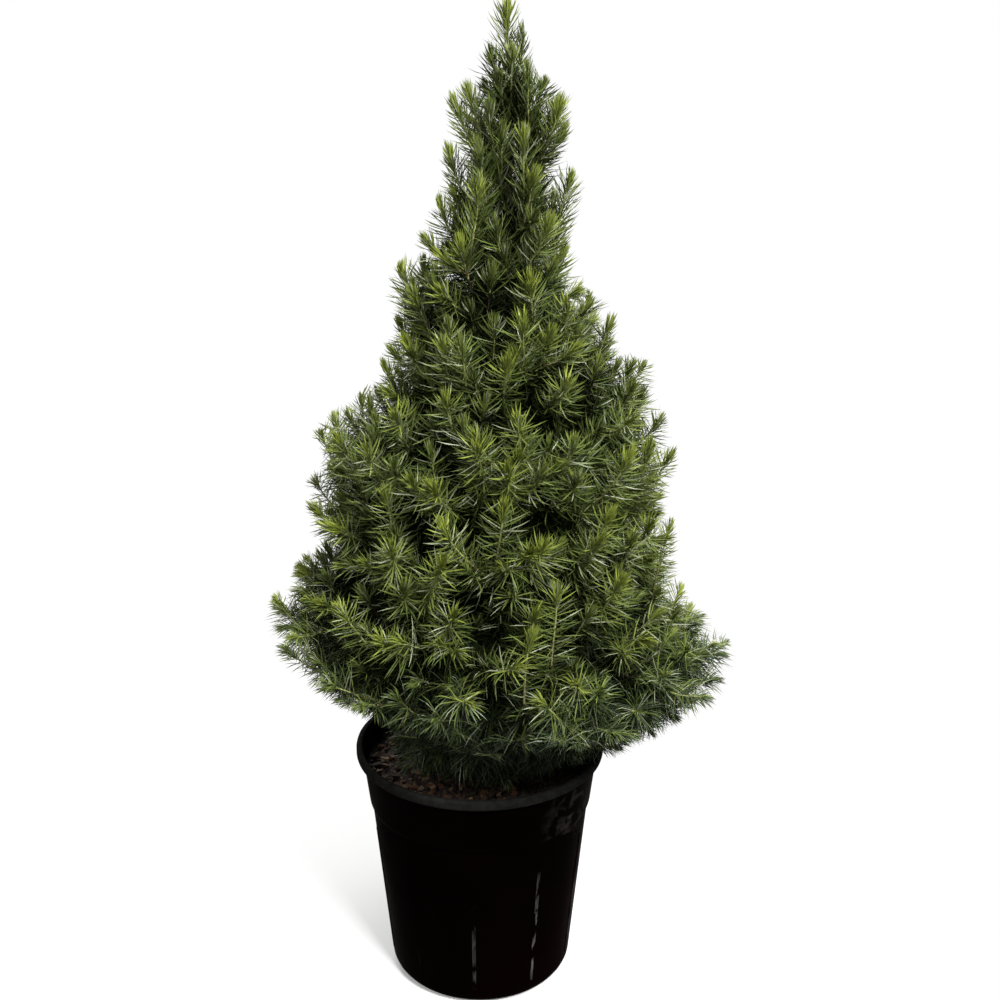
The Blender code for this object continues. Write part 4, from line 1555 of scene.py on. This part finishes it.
    def shoot_to(
        self, spot: np.ndarray, aim: np.ndarray, length: float
    ) -> tuple[Path, int] | None:
        """The best shoot that ends in a place, and its mass, or None.

        Args:
            spot: the place.
            aim: the direction of the shoot's tip.
            length: the length that suits the layer.

        Returns:
            The shoot's line and its mass's number, or None where none fits.
        """
        rule = self.rule
        away = spot - self.roots
        size = np.maximum(np.linalg.norm(away, axis=1), MM)
        straight = (away @ aim) / size
        forwards = (away * self.ways).sum(1) / size
        owner = self.room.owner_of(Vector(spot))
        cost = np.abs(size - length) * rule.length_price + rule.bend_price * (1 - straight)
        cost += rule.other_mass_price * ((self.owners != owner) & (self.owners >= 0))
        cost[(size < rule.shortest) | (size > rule.longest * length)] = np.inf
        cost[straight < rule.least_straight] = np.inf
        cost[(forwards < rule.least_forwards) & (self.owners >= 0)] = np.inf
        for best in np.argsort(cost)[: rule.tries]:
            if not np.isfinite(cost[best]):
                return None
            path = self.bend(self.roots[best], self.ways[best], spot, aim)
            points = np.array(path.points[2:])
            near = np.sqrt(((points[:, None] - self.lines[None]) ** 2).sum(2)).min(1)
            free = (near > rule.apart * np.array(rule.apart_shares)).all()
            if free and self.room.clear(points, rule.off_wood).all():
                return path, owner if self.owners[best] < 0 else int(self.owners[best])
        return None

    def fill(self, crown: list[list[Shoot]]) -> None:
        """Adds the finer twigs of every layer to the crown, from the inside out."""
        self.start(crown)
        taken = np.array([shoot.path.points[-1] for shoots in crown for shoot in shoots])
        turns, heights = np.array(self.leading).T
        leading = self.room.surface(np.radians(turns), heights * MM, self.leading_inside)
        middle = random.Random(0)
        leading += self.leading_rise * np.array([self.aim(spot, middle) for spot in leading])
        taken = np.concatenate([taken, leading])
        work = []
        for layer in self.layers:
            spots = self.places(layer, taken)
            taken = np.concatenate([taken, spots])
            work.append((layer, spots))
        work[0] = (work[0][0], np.concatenate([leading, work[0][1]]))
        chance = random.Random(self.seed)
        for layer, spots in reversed(work):
            grown = 0
            for spot in spots:
                found = self.shoot_to(spot, self.aim(spot, chance), layer.length)
                if not found:
                    shorter = self.rule.second_length * layer.length
                    found = self.shoot_to(spot, self.aim(spot, chance), shorter)
                if found:
                    path, owner = found
                    vigour = layer.vigour * chance.uniform(0.5, 1.0)
                    thick = (0.5 + 0.4 * vigour) * MM
                    crown[owner].append(Shoot(path, thick, 0.6 * thick, 2 * MM, 2, vigour))
                    self.add_wood(path, owner)
                    grown += 1
            LOG.info("layer at %.0f mm: %d twigs for %d places", layer.near / MM, grown, len(spots))


@dataclass
class NeedleForm:
    """The form of one needle and how needles stand along a shoot."""

    length: float = 16.5 * MM
    shade_length: float = 24 * MM
    tip_length: float = 10 * MM
    jitter: float = 0.17
    half_width: float = 0.34 * MM
    foot: float = 0.75
    widest: float = 0.66
    density: float = 3.7
    deep_density: float = 3.6
    shade_more: float = 0.25
    spread: float = 74
    shade_spread: float = 80
    high_spread: float = 50
    tip_spread: float = 30
    tip_reach: float = 9 * MM
    wander: float = 17
    brush: int = 18
    club: int = 72
    club_reach: float = 11 * MM
    club_spread: Pair = (7, 32)
    curve: float = 16
    golden: float = 137.5
    rise: float = 0.06
    droop: float = 0.85
    droop_heights: Pair = (0.20, 0.36)
    shade_width: float = 0.28 * MM
    test_shares: tuple[float, ...] = (0.45, 1.0)
    short: float = 0.7
    solids: float = 1.3 * MM
    outline: float = -4 * MM
    fewest: int = 4
    deep_place: float = 0.6
    deep_cover: float = 40 * MM
    turn_jitter: float = 9
    low_club: float = 0.8
    low_club_reach: float = 0.3
    brush_spread: Pair = (3, 22)
    sunk: float = 0.6


@dataclass(frozen=True)
class TwigForm:
    """The form of the twigs and where their bark changes: wood inside, soft green at the tips, and
    painted shade under deep cover.
    """

    stem_sides: int = 6
    sides: int = 5
    fewest_rings: int = 4
    ring_step: float = 5 * MM
    shaded_cover: float = 26 * MM
    age_step: float = 0.35
    brown_until: float = 0.5
    tan_until: float = 0.8

    def tint(self, shoot: Shoot, share: float, cover: float) -> int:
        """The tint of a twig's bark at a share of its length, under so much cover."""
        # Twigs under deep cover take the shaded tint: painted shade.
        if cover > self.shaded_cover:
            return 3
        age = share + self.age_step * (shoot.order - 1)
        if age < self.brown_until:
            return 2
        return 1 if age < self.tan_until else 0


@dataclass(frozen=True)
class TintRule:
    """How a needle's tint follows its place, from level 0, the palest, to level 5, the darkest.

    Cover, the shade at the crown's foot, the narrow top, the summit and the low left darken it, all
    of it painted shade. Vigour and young growth make it paler, and a place on a shoot's upper side
    makes it paler as painted light.
    """

    middle: float = 2.0
    vigour: float = 0.3
    cover: float = 4.0
    low_cover: float = 2.0
    full_cover: float = 42 * MM
    young: float = 2.5
    low_young: float = 2.2
    young_start: float = 1.3
    young_reach: float = 8 * MM
    low: float = 1.2
    high: float = 0.7
    upper: float = 0.6
    summit: float = 0.9
    foot: float = 0.75
    scatter: float = 1.1
    blue: float = 0.8
    banded: float = 0.13


@dataclass
class Needles:
    """The needles of one or more shoots, with one row in each array for each needle.

    left is how far a needle stands from its shoot's tip, upward how far it stands on the shoot's
    upper side, from -1 to 1, and tone how much darker its whole spray is than most.
    """

    roots: np.ndarray
    first: np.ndarray
    last: np.ndarray
    length: np.ndarray
    left: np.ndarray
    upward: np.ndarray
    vigour: np.ndarray
    tone: np.ndarray

    @classmethod
    def joined(cls, parts: list["Needles"]) -> "Needles":
        """The needles of several shoots together."""
        columns = zip(*(vars(part).values() for part in parts))
        return cls(*(np.concatenate(column) for column in columns))

    def kept(self, keep: np.ndarray) -> "Needles":
        """The needles that are marked to be kept."""
        return Needles(*(column[keep] for column in vars(self).values()))

    def along(self, share: float) -> np.ndarray:
        """The point at a share of each needle's length on its gentle curve."""
        bend = (self.last - self.first) * (share * share / 2)
        return self.roots + (self.first * share + bend) * self.length[:, None]


@dataclass
class Foliage:
    """Every mass of foliage: its twigs and its needles, each kind one piece."""

    plan: CrownPlan
    wood: Wood
    form: NeedleForm = field(default_factory=NeedleForm)
    twigs: TwigForm = TwigForm()
    rule: TintRule = TintRule()
    leader_rise: float = 6 * MM
    low_height: float = 216 * MM
    low_fade: float = 50 * MM
    high_height: float = 400 * MM
    high_fade: float = 150 * MM
    summit_shade_height: float = 580 * MM
    summit_shade_fade: float = 30 * MM
    low_left_shade_height: float = 330 * MM
    low_left_shade_fade: float = 50 * MM
    low_left_shade_side: float = 105 * MM
    tone: float = 0.8

    def masses(self) -> tuple[list[str], list[list[Vector]], list[bool]]:
        """The names, stems and kinds of the masses, the leader last."""
        boughs = self.plan.boughs()
        names = [bough.name for bough in boughs] + ["leader"]
        lines = [self.plan.mass_line(bough) for bough in boughs] + [self.plan.leader_line()]
        lines[-1][-1] = lines[-1][-1] + Vector((0, 0, self.leader_rise))
        return names, lines, [bough.limbed for bough in boughs] + [False]

    @staticmethod
    def sampled(line: list[Vector], count: int = 14) -> np.ndarray:
        """Evenly spaced points on a line."""
        path = Path(line)
        return np.array([path.at(path.length * i / (count - 1))[0] for i in range(count)])

    def frames(self, shoot: Shoot, distances: np.ndarray) -> tuple[np.ndarray, ...]:
        """The points, directions and two cross directions at distances along a shoot."""
        curve = shoot.path.smooth()
        steps = np.linalg.norm(np.diff(curve, axis=0), axis=1)
        along = np.concatenate([[0], np.cumsum(steps)])
        share = np.clip(distances / shoot.path.length, 0, 1) * along[-1]
        points = np.stack([np.interp(share, along, curve[:, k]) for k in range(3)], axis=1)
        slopes = np.gradient(curve, along, axis=0)
        directions = np.stack([np.interp(share, along, slopes[:, k]) for k in range(3)], axis=1)
        directions = unit(directions)
        flat = curve[-1] - curve[0]
        side = np.array([-flat[1], flat[0], 0.0])
        size = np.linalg.norm(side)
        side = side / size if size > MM else np.array([1.0, 0, 0])
        over = unit(np.cross(directions, side))
        return points, directions, np.cross(over, directions), over

    def shade(self, heights: np.ndarray | float) -> np.ndarray:
        """How far each height lies in the shade at the foot of the crown, from 0 to 1."""
        return np.clip((self.low_height + self.low_fade - heights) / self.low_fade, 0, 1)

    def height_share(self, heights: np.ndarray | float) -> np.ndarray:
        """1 in the crown's narrow top and 0 below it."""
        return np.clip((heights - self.high_height) / self.high_fade, 0, 1)

    def tints(self, needles: Needles, room: Room, chance: np.random.Generator) -> np.ndarray:
        """Deals a tint to each needle.

        Args:
            needles: the needles.
            room: the room that knows the crown's outline.
            chance: the mass's own seeded chance.

        Returns:
            Each needle's place in the list of tints.
        """
        rule = self.rule
        spots = needles.along(0.6)
        heights = spots[:, 2]
        cover = np.clip(room.cover(spots) / rule.full_cover, 0, 1)
        low, high = self.shade(heights), self.height_share(heights)
        young = np.clip(rule.young_start - needles.left / rule.young_reach, 0, 1) * needles.vigour
        level = rule.middle - rule.vigour * needles.vigour
        # Cover inside the needles' outline darkens a needle: painted shade.
        level = level + (rule.cover - rule.low_cover * low) * cover
        level = level - (rule.young - rule.low_young * low) * young
        # The crown's foot and its narrow top are darkened as painted shade, and a needle on a
        # shoot's upper side is made paler as painted light.
        level += rule.low * low + rule.high * high - rule.upper * needles.upward + needles.tone
        # The summit is darkened: painted shade.
        level += rule.summit * np.clip((heights - self.summit_shade_height) / self.summit_shade_fade, 0, 1)
        # The lower crown, save its far +X side, is darkened: painted shade.
        foot = np.clip((self.low_left_shade_height - heights) / self.low_left_shade_fade, 0, 1)
        level += rule.foot * foot * np.clip((self.low_left_shade_side - spots[:, 0]) / self.low_left_shade_fade, 0, 1)
        level += chance.uniform(-rule.scatter, rule.scatter, len(spots))
        level = np.maximum(level, np.where(young > 0.1, low, 2))
        level = np.clip(np.round(level), 0, 5).astype(int)
        blue = (level >= 1) & (level <= 4) & (chance.uniform(0, 1, len(spots)) < rule.blue * low)
        level = np.where(blue, np.where(level <= 3, 6, 7), level)
        # Some needles take the banded tint: pale stomatal bands and painted highlights.
        banded = (level > 0) & (level < 5) & (chance.uniform(0, 1, len(spots)) < rule.banded)
        return np.where(banded, 8, level)

    def shoot_needles(self, shoot: Shoot, room: Room, chance: np.random.Generator) -> Needles:
        """Stands the needles of one shoot round it: all along, clubbed at its tip and its brush.

        Args:
            shoot: the shoot.
            room: the room that knows the crown's outline.
            chance: the mass's own seeded chance.

        Returns:
            The needles.
        """
        form = self.form
        reach = shoot.path.length - shoot.bare
        tip = shoot.path.points[-1].z
        low, high = self.shade(tip), self.height_share(tip)
        middle = np.array([shoot.path.at(form.deep_place * shoot.path.length)[0]])
        deep = float(np.clip(room.cover(middle)[0] / form.deep_cover, 0, 1))
        density = form.density + (form.deep_density - form.density) * deep
        density *= 1 + form.shade_more * low
        count = max(form.fewest, int(reach / MM * density))
        distance = shoot.bare + reach * (np.arange(count) + 0.5) / count
        club = round(form.club * shoot.vigour * (1 - form.low_club * low))
        club = chance.uniform(0, 1, club)
        club = min(reach, form.club_reach * (1 - form.low_club_reach * low)) * club
        ends = np.full(form.brush, shoot.path.length)
        distance = np.concatenate([distance, shoot.path.length - club, ends])
        left = shoot.path.length - distance
        number = np.arange(len(distance))
        jitter = chance.uniform(-form.turn_jitter, form.turn_jitter, len(number))
        turn = np.radians(number * form.golden + jitter)
        points, along, side, over = self.frames(shoot, distance)
        near = np.clip(1 - left / form.tip_reach, 0, 1)
        spread = form.spread + (form.shade_spread - form.spread) * low
        spread = spread + (form.high_spread - spread) * high
        spread = spread + (form.tip_spread - spread) * near
        spread = spread + chance.uniform(-form.wander, form.wander, len(number))
        spread[-form.brush :] = chance.uniform(*form.brush_spread, form.brush)
        length = form.length + (form.shade_length - form.length) * low
        length = length + (form.tip_length - length) * near
        spread[count : -form.brush] = chance.uniform(*form.club_spread, len(club))
        length[count : -form.brush] = form.tip_length
        length = length * chance.uniform(1 - form.jitter, 1 + form.jitter, len(number))
        radial = side * np.cos(turn)[:, None] + over * np.sin(turn)[:, None]
        droop = form.droop * np.interp(tip, form.droop_heights, (1, 0))
        first = self.lean(along, radial, spread, form.rise * (1 - low))
        last = self.lean(along, radial, spread - form.curve, form.rise - droop)
        share = (distance / shoot.path.length)[:, None]
        thick = shoot.foot_radius + (shoot.tip_radius - shoot.foot_radius) * share
        vigour = np.full(len(number), shoot.vigour)
        tone = np.full(len(number), chance.uniform(-self.tone, self.tone))
        roots = points + radial * thick * form.sunk
        return Needles(roots, first, last, length, left, radial[:, 2], vigour, tone)

    @staticmethod
    def lean(along: np.ndarray, radial: np.ndarray, spread: np.ndarray, rise: float) -> np.ndarray:
        """The direction at an angle to the shoot, drawn a little upwards."""
        angle = np.radians(spread)[:, None]
        direction = along * np.cos(angle) + radial * np.sin(angle)
        return unit(direction + np.array([0, 0, rise]))

    def needle_piece(
        self, name: str, owner: int, shoots: list[Shoot], room: Room, materials: list
    ) -> bpy.types.Object:
        """Joins the needles of one mass into one piece.

        Args:
            name: the mass's name.
            owner: the mass's number.
            shoots: its shoots.
            room: the room that it keeps to.
            materials: the tints of the needles.

        Returns:
            The piece.
        """
        form = self.form
        chance = np.random.default_rng(300 + owner)
        needles = Needles.joined([self.shoot_needles(shoot, room, chance) for shoot in shoots])
        keep = np.zeros(len(needles.roots), dtype=bool)
        for size in (1.0, form.short):
            needles.length = np.where(keep, needles.length, needles.length * size)
            fits = np.ones(len(keep), dtype=bool)
            for share in form.test_shares:
                spots = needles.along(share)
                fits &= (room.cover(spots) > form.outline) & room.clear(spots, form.solids)
            keep |= fits
        needles = needles.kept(keep)
        count = len(needles.roots)
        tints = self.tints(needles, room, chance)
        cross = np.cross(needles.first, np.array(UP))
        weak = np.linalg.norm(cross, axis=1) < 0.05
        cross[weak] = np.array([1.0, 0, 0])
        cross = unit(cross)
        lift = np.cross(cross, needles.first)
        spin = chance.uniform(0, np.pi, count)[:, None]
        low = self.shade(needles.roots[:, 2:])
        half_width = form.half_width + (form.shade_width - form.half_width) * low
        edge = (cross * np.cos(spin) + lift * np.sin(spin)) * half_width
        foot, middle, tip = (needles.along(share) for share in (0.02, form.widest, 1.0))
        narrow = edge * form.foot
        points = np.stack([foot - narrow, foot + narrow, middle - edge, middle + edge, tip], axis=1)
        faces = [(0, 1, 3), (0, 3, 2), (2, 3, 4)]
        triangles = np.array(faces)[None] + 5 * np.arange(count)[:, None, None]
        piece = mesh_from_arrays(
            f"needles_{name}",
            points.reshape(-1, 3),
            triangles.reshape(-1, 3),
            np.repeat(tints, len(faces)),
            materials,
        )
        declare(piece, "needles", f"foliage_{name}")
        return piece

    def twig_piece(
        self, name: str, shoots: list[Shoot], room: Room, materials: list
    ) -> bpy.types.Object:
        """Joins the twigs of one mass into one piece, each a closed tapering tube."""
        form = self.twigs
        points, triangles, tints = [], [], []
        start = 0
        for shoot in shoots:
            sides = form.stem_sides if shoot.order == 1 else form.sides
            rings = max(form.fewest_rings, round(shoot.path.length / form.ring_step))
            distance = np.linspace(0, shoot.path.length, rings + 1)
            middles, along, side, over = self.frames(shoot, distance)
            share = np.linspace(0, 1, rings + 1)
            cover = room.cover(middles)
            radii = shoot.foot_radius + (shoot.tip_radius - shoot.foot_radius) * share
            angles = 2 * np.pi * np.arange(sides) / sides
            out = side[:, None] * np.cos(angles)[:, None] + over[:, None] * np.sin(angles)[:, None]
            ring_points = middles[:, None] + out * radii[:, None, None]
            end_foot = middles[0] - along[0] * MM * 0.3
            end_tip = middles[-1] + along[-1] * 1.2 * MM
            points.append(np.concatenate([ring_points.reshape(-1, 3), [end_foot, end_tip]]))
            faces, kinds = [], []
            foot, tip = sides * (rings + 1), sides * (rings + 1) + 1
            for ring in range(rings):
                tint = form.tint(shoot, share[ring], cover[ring])
                for k in range(sides):
                    a, b = ring * sides + k, ring * sides + (k + 1) % sides
                    faces += [(a, b, b + sides), (a, b + sides, a + sides)]
                    kinds += [tint, tint]
            for k in range(sides):
                b = (k + 1) % sides
                faces += [(foot, b, k), (tip, rings * sides + k, rings * sides + b)]
                kinds += [form.tint(shoot, end, cover[-int(end)]) for end in (0.0, 1.0)]
            triangles.append(np.array(faces) + start)
            tints.append(np.array(kinds))
            start += len(points[-1])
        piece = mesh_from_arrays(
            f"twigs_{name}",
            np.concatenate(points),
            np.concatenate(triangles),
            np.concatenate(tints),
            materials,
        )
        piece.data.polygons.foreach_set("use_smooth", np.ones(len(piece.data.polygons), dtype=bool))
        declare(piece, "bark", f"foliage_{name}")
        return piece

    def grow(self, room: Room) -> list[tuple[str, list[Shoot]]]:
        """Grows every shoot: first what the solids have, then the finer twigs."""
        growth = Growth(room)
        names, lines, limbed = self.masses()
        crown = [
            growth.mass(line, owner, self.plan.seed + owner, limb, names[owner] == "leader")
            for owner, (line, limb) in enumerate(zip(lines, limbed))
        ]
        Filling(room, self.plan.seed).fill(crown)
        return list(zip(names, crown))

    def build(self) -> None:
        """Grows every mass and joins its twigs and its needles."""
        lines = self.masses()[1]
        room = Room(self.plan, [self.sampled(line) for line in lines], self.wood.samples())
        needles = [tint.value.material() for tint in NeedleTint]
        barks = [tint.value.material() for tint in TwigTint]
        total = [0, 0]
        for owner, (name, shoots) in enumerate(self.grow(room)):
            self.twig_piece(name, shoots, room, barks)
            piece = self.needle_piece(name, owner, shoots, room, needles)
            total = [total[0] + len(piece.data.polygons), total[1] + len(shoots)]
            LOG.info("%s: %d shoots", name, len(shoots))
        LOG.info("all needles: %d faces on %d shoots", *total)


# The studio


@dataclass(frozen=True)
class Lamp:
    """One soft square lamp: its name, place, width and power."""

    name: str
    place: Triple
    size: float
    power: float

    def hang(self, aim: Vector) -> None:
        """Hangs the lamp so that it faces a point."""
        data = bpy.data.lights.new(self.name, "AREA")
        data.shape = "SQUARE"
        data.size = self.size
        data.energy = self.power
        lamp = bpy.data.objects.new(self.name, data)
        lamp.location = self.place
        lamp.rotation_euler = (aim - Vector(self.place)).to_track_quat("-Z", "Y").to_euler()
        bpy.context.scene.collection.objects.link(lamp)


@dataclass
class Studio:
    """A pale floor, soft light and the camera."""

    floor_half: float = 30.0
    floor_near: float = 0.0
    floor_far: float = 0.26
    floor_colour: Colour = (0.86, 0.86, 0.85)
    camera_place: Triple = (0.0135, -0.778, 0.580)
    camera_pitch: float = 17.62
    lens: float = 46.5
    world_light: float = 0.24
    floor_light: float = 0.25
    lamps: tuple[Lamp, ...] = (
        Lamp("key", (0.70, -1.2, 1.7), 0.6, 82),
        Lamp("fill", (-1.4, -0.9, 1.2), 0.8, 8),
        Lamp("back", (-0.5, 1.5, 1.1), 0.9, 26),
        Lamp("top", (0.1, 0.3, 2.0), 0.8, 14),
    )
    lamp_aim: Triple = (0, 0, 0.33)

    def build_floor(self) -> None:
        """Lays the floor."""
        leave_all()
        bpy.ops.mesh.primitive_plane_add(size=2 * self.floor_half, location=(0, 0, 0))
        floor = bpy.context.object
        floor.name = "studio_floor"
        constants = {"Base Color": self.floor_colour, "Roughness": 0.9, "Specular IOR Level": 0.1}
        constants["Emission Color"] = (1, 1, 1)
        made, sheet, shader = new_material("studio_floor", constants)
        spot = sheet.place("ShaderNodeTexCoord").outputs["Object"]
        fine = sheet.group(grain_group(), {"Vector": spot, "Scale": 60.0})
        normal = sheet.bump(fine, 0.05, 0.0005)
        # Far from the pot the floor turns into the backdrop, with no horizon between them.
        far = sheet.ramp(sheet.length(spot), self.floor_near, self.floor_far)
        seen = sheet.place("ShaderNodeLightPath").outputs["Is Camera Ray"]
        glow = sheet.maths("MULTIPLY", far, sheet.maths("MAXIMUM", seen, self.floor_light))
        near = sheet.blend(far, self.floor_colour, (0, 0, 0))
        sheet.feed(shader, {"Normal": normal, "Emission Strength": glow, "Base Color": near})
        floor.data.materials.append(made)

    def build_camera(self) -> None:
        """Sets the camera."""
        data = bpy.data.cameras.new("camera")
        data.lens = self.lens
        data.sensor_width = 36
        data.clip_start = 0.01
        camera = bpy.data.objects.new("camera", data)
        camera.location = self.camera_place
        camera.rotation_euler = (math.radians(90 - self.camera_pitch), 0, 0)
        bpy.context.scene.collection.objects.link(camera)
        bpy.context.scene.camera = camera

    def build(self) -> None:
        """Sets the world, the floor, the lamps and the camera."""
        world = bpy.data.worlds.new("studio")
        world.use_nodes = True
        back = world.node_tree.nodes["Background"]
        back.inputs["Color"].default_value = (1, 1, 1, 1)
        sheet = ShaderSheet(world.node_tree)
        seen = sheet.place("ShaderNodeLightPath").outputs["Is Camera Ray"]
        sheet.feed(back, {"Strength": sheet.maths("MAXIMUM", seen, self.world_light)})
        bpy.context.scene.world = world
        self.build_floor()
        for lamp in self.lamps:
            lamp.hang(Vector(self.lamp_aim))
        self.build_camera()
        bpy.context.scene.view_settings.view_transform = "Standard"


def main() -> None:
    """Builds each sub-assembly in order."""
    logging.basicConfig(level=logging.INFO, format="%(message)s", stream=sys.stdout)
    pot = NurseryPot()
    pot.build()
    PottingMix(pot).build()
    plan = CrownPlan(TrunkLine())
    wood = Wood(plan)
    wood.build()
    Studio().build()
    Foliage(plan, wood).build()


if __name__ == "__main__":
    main()
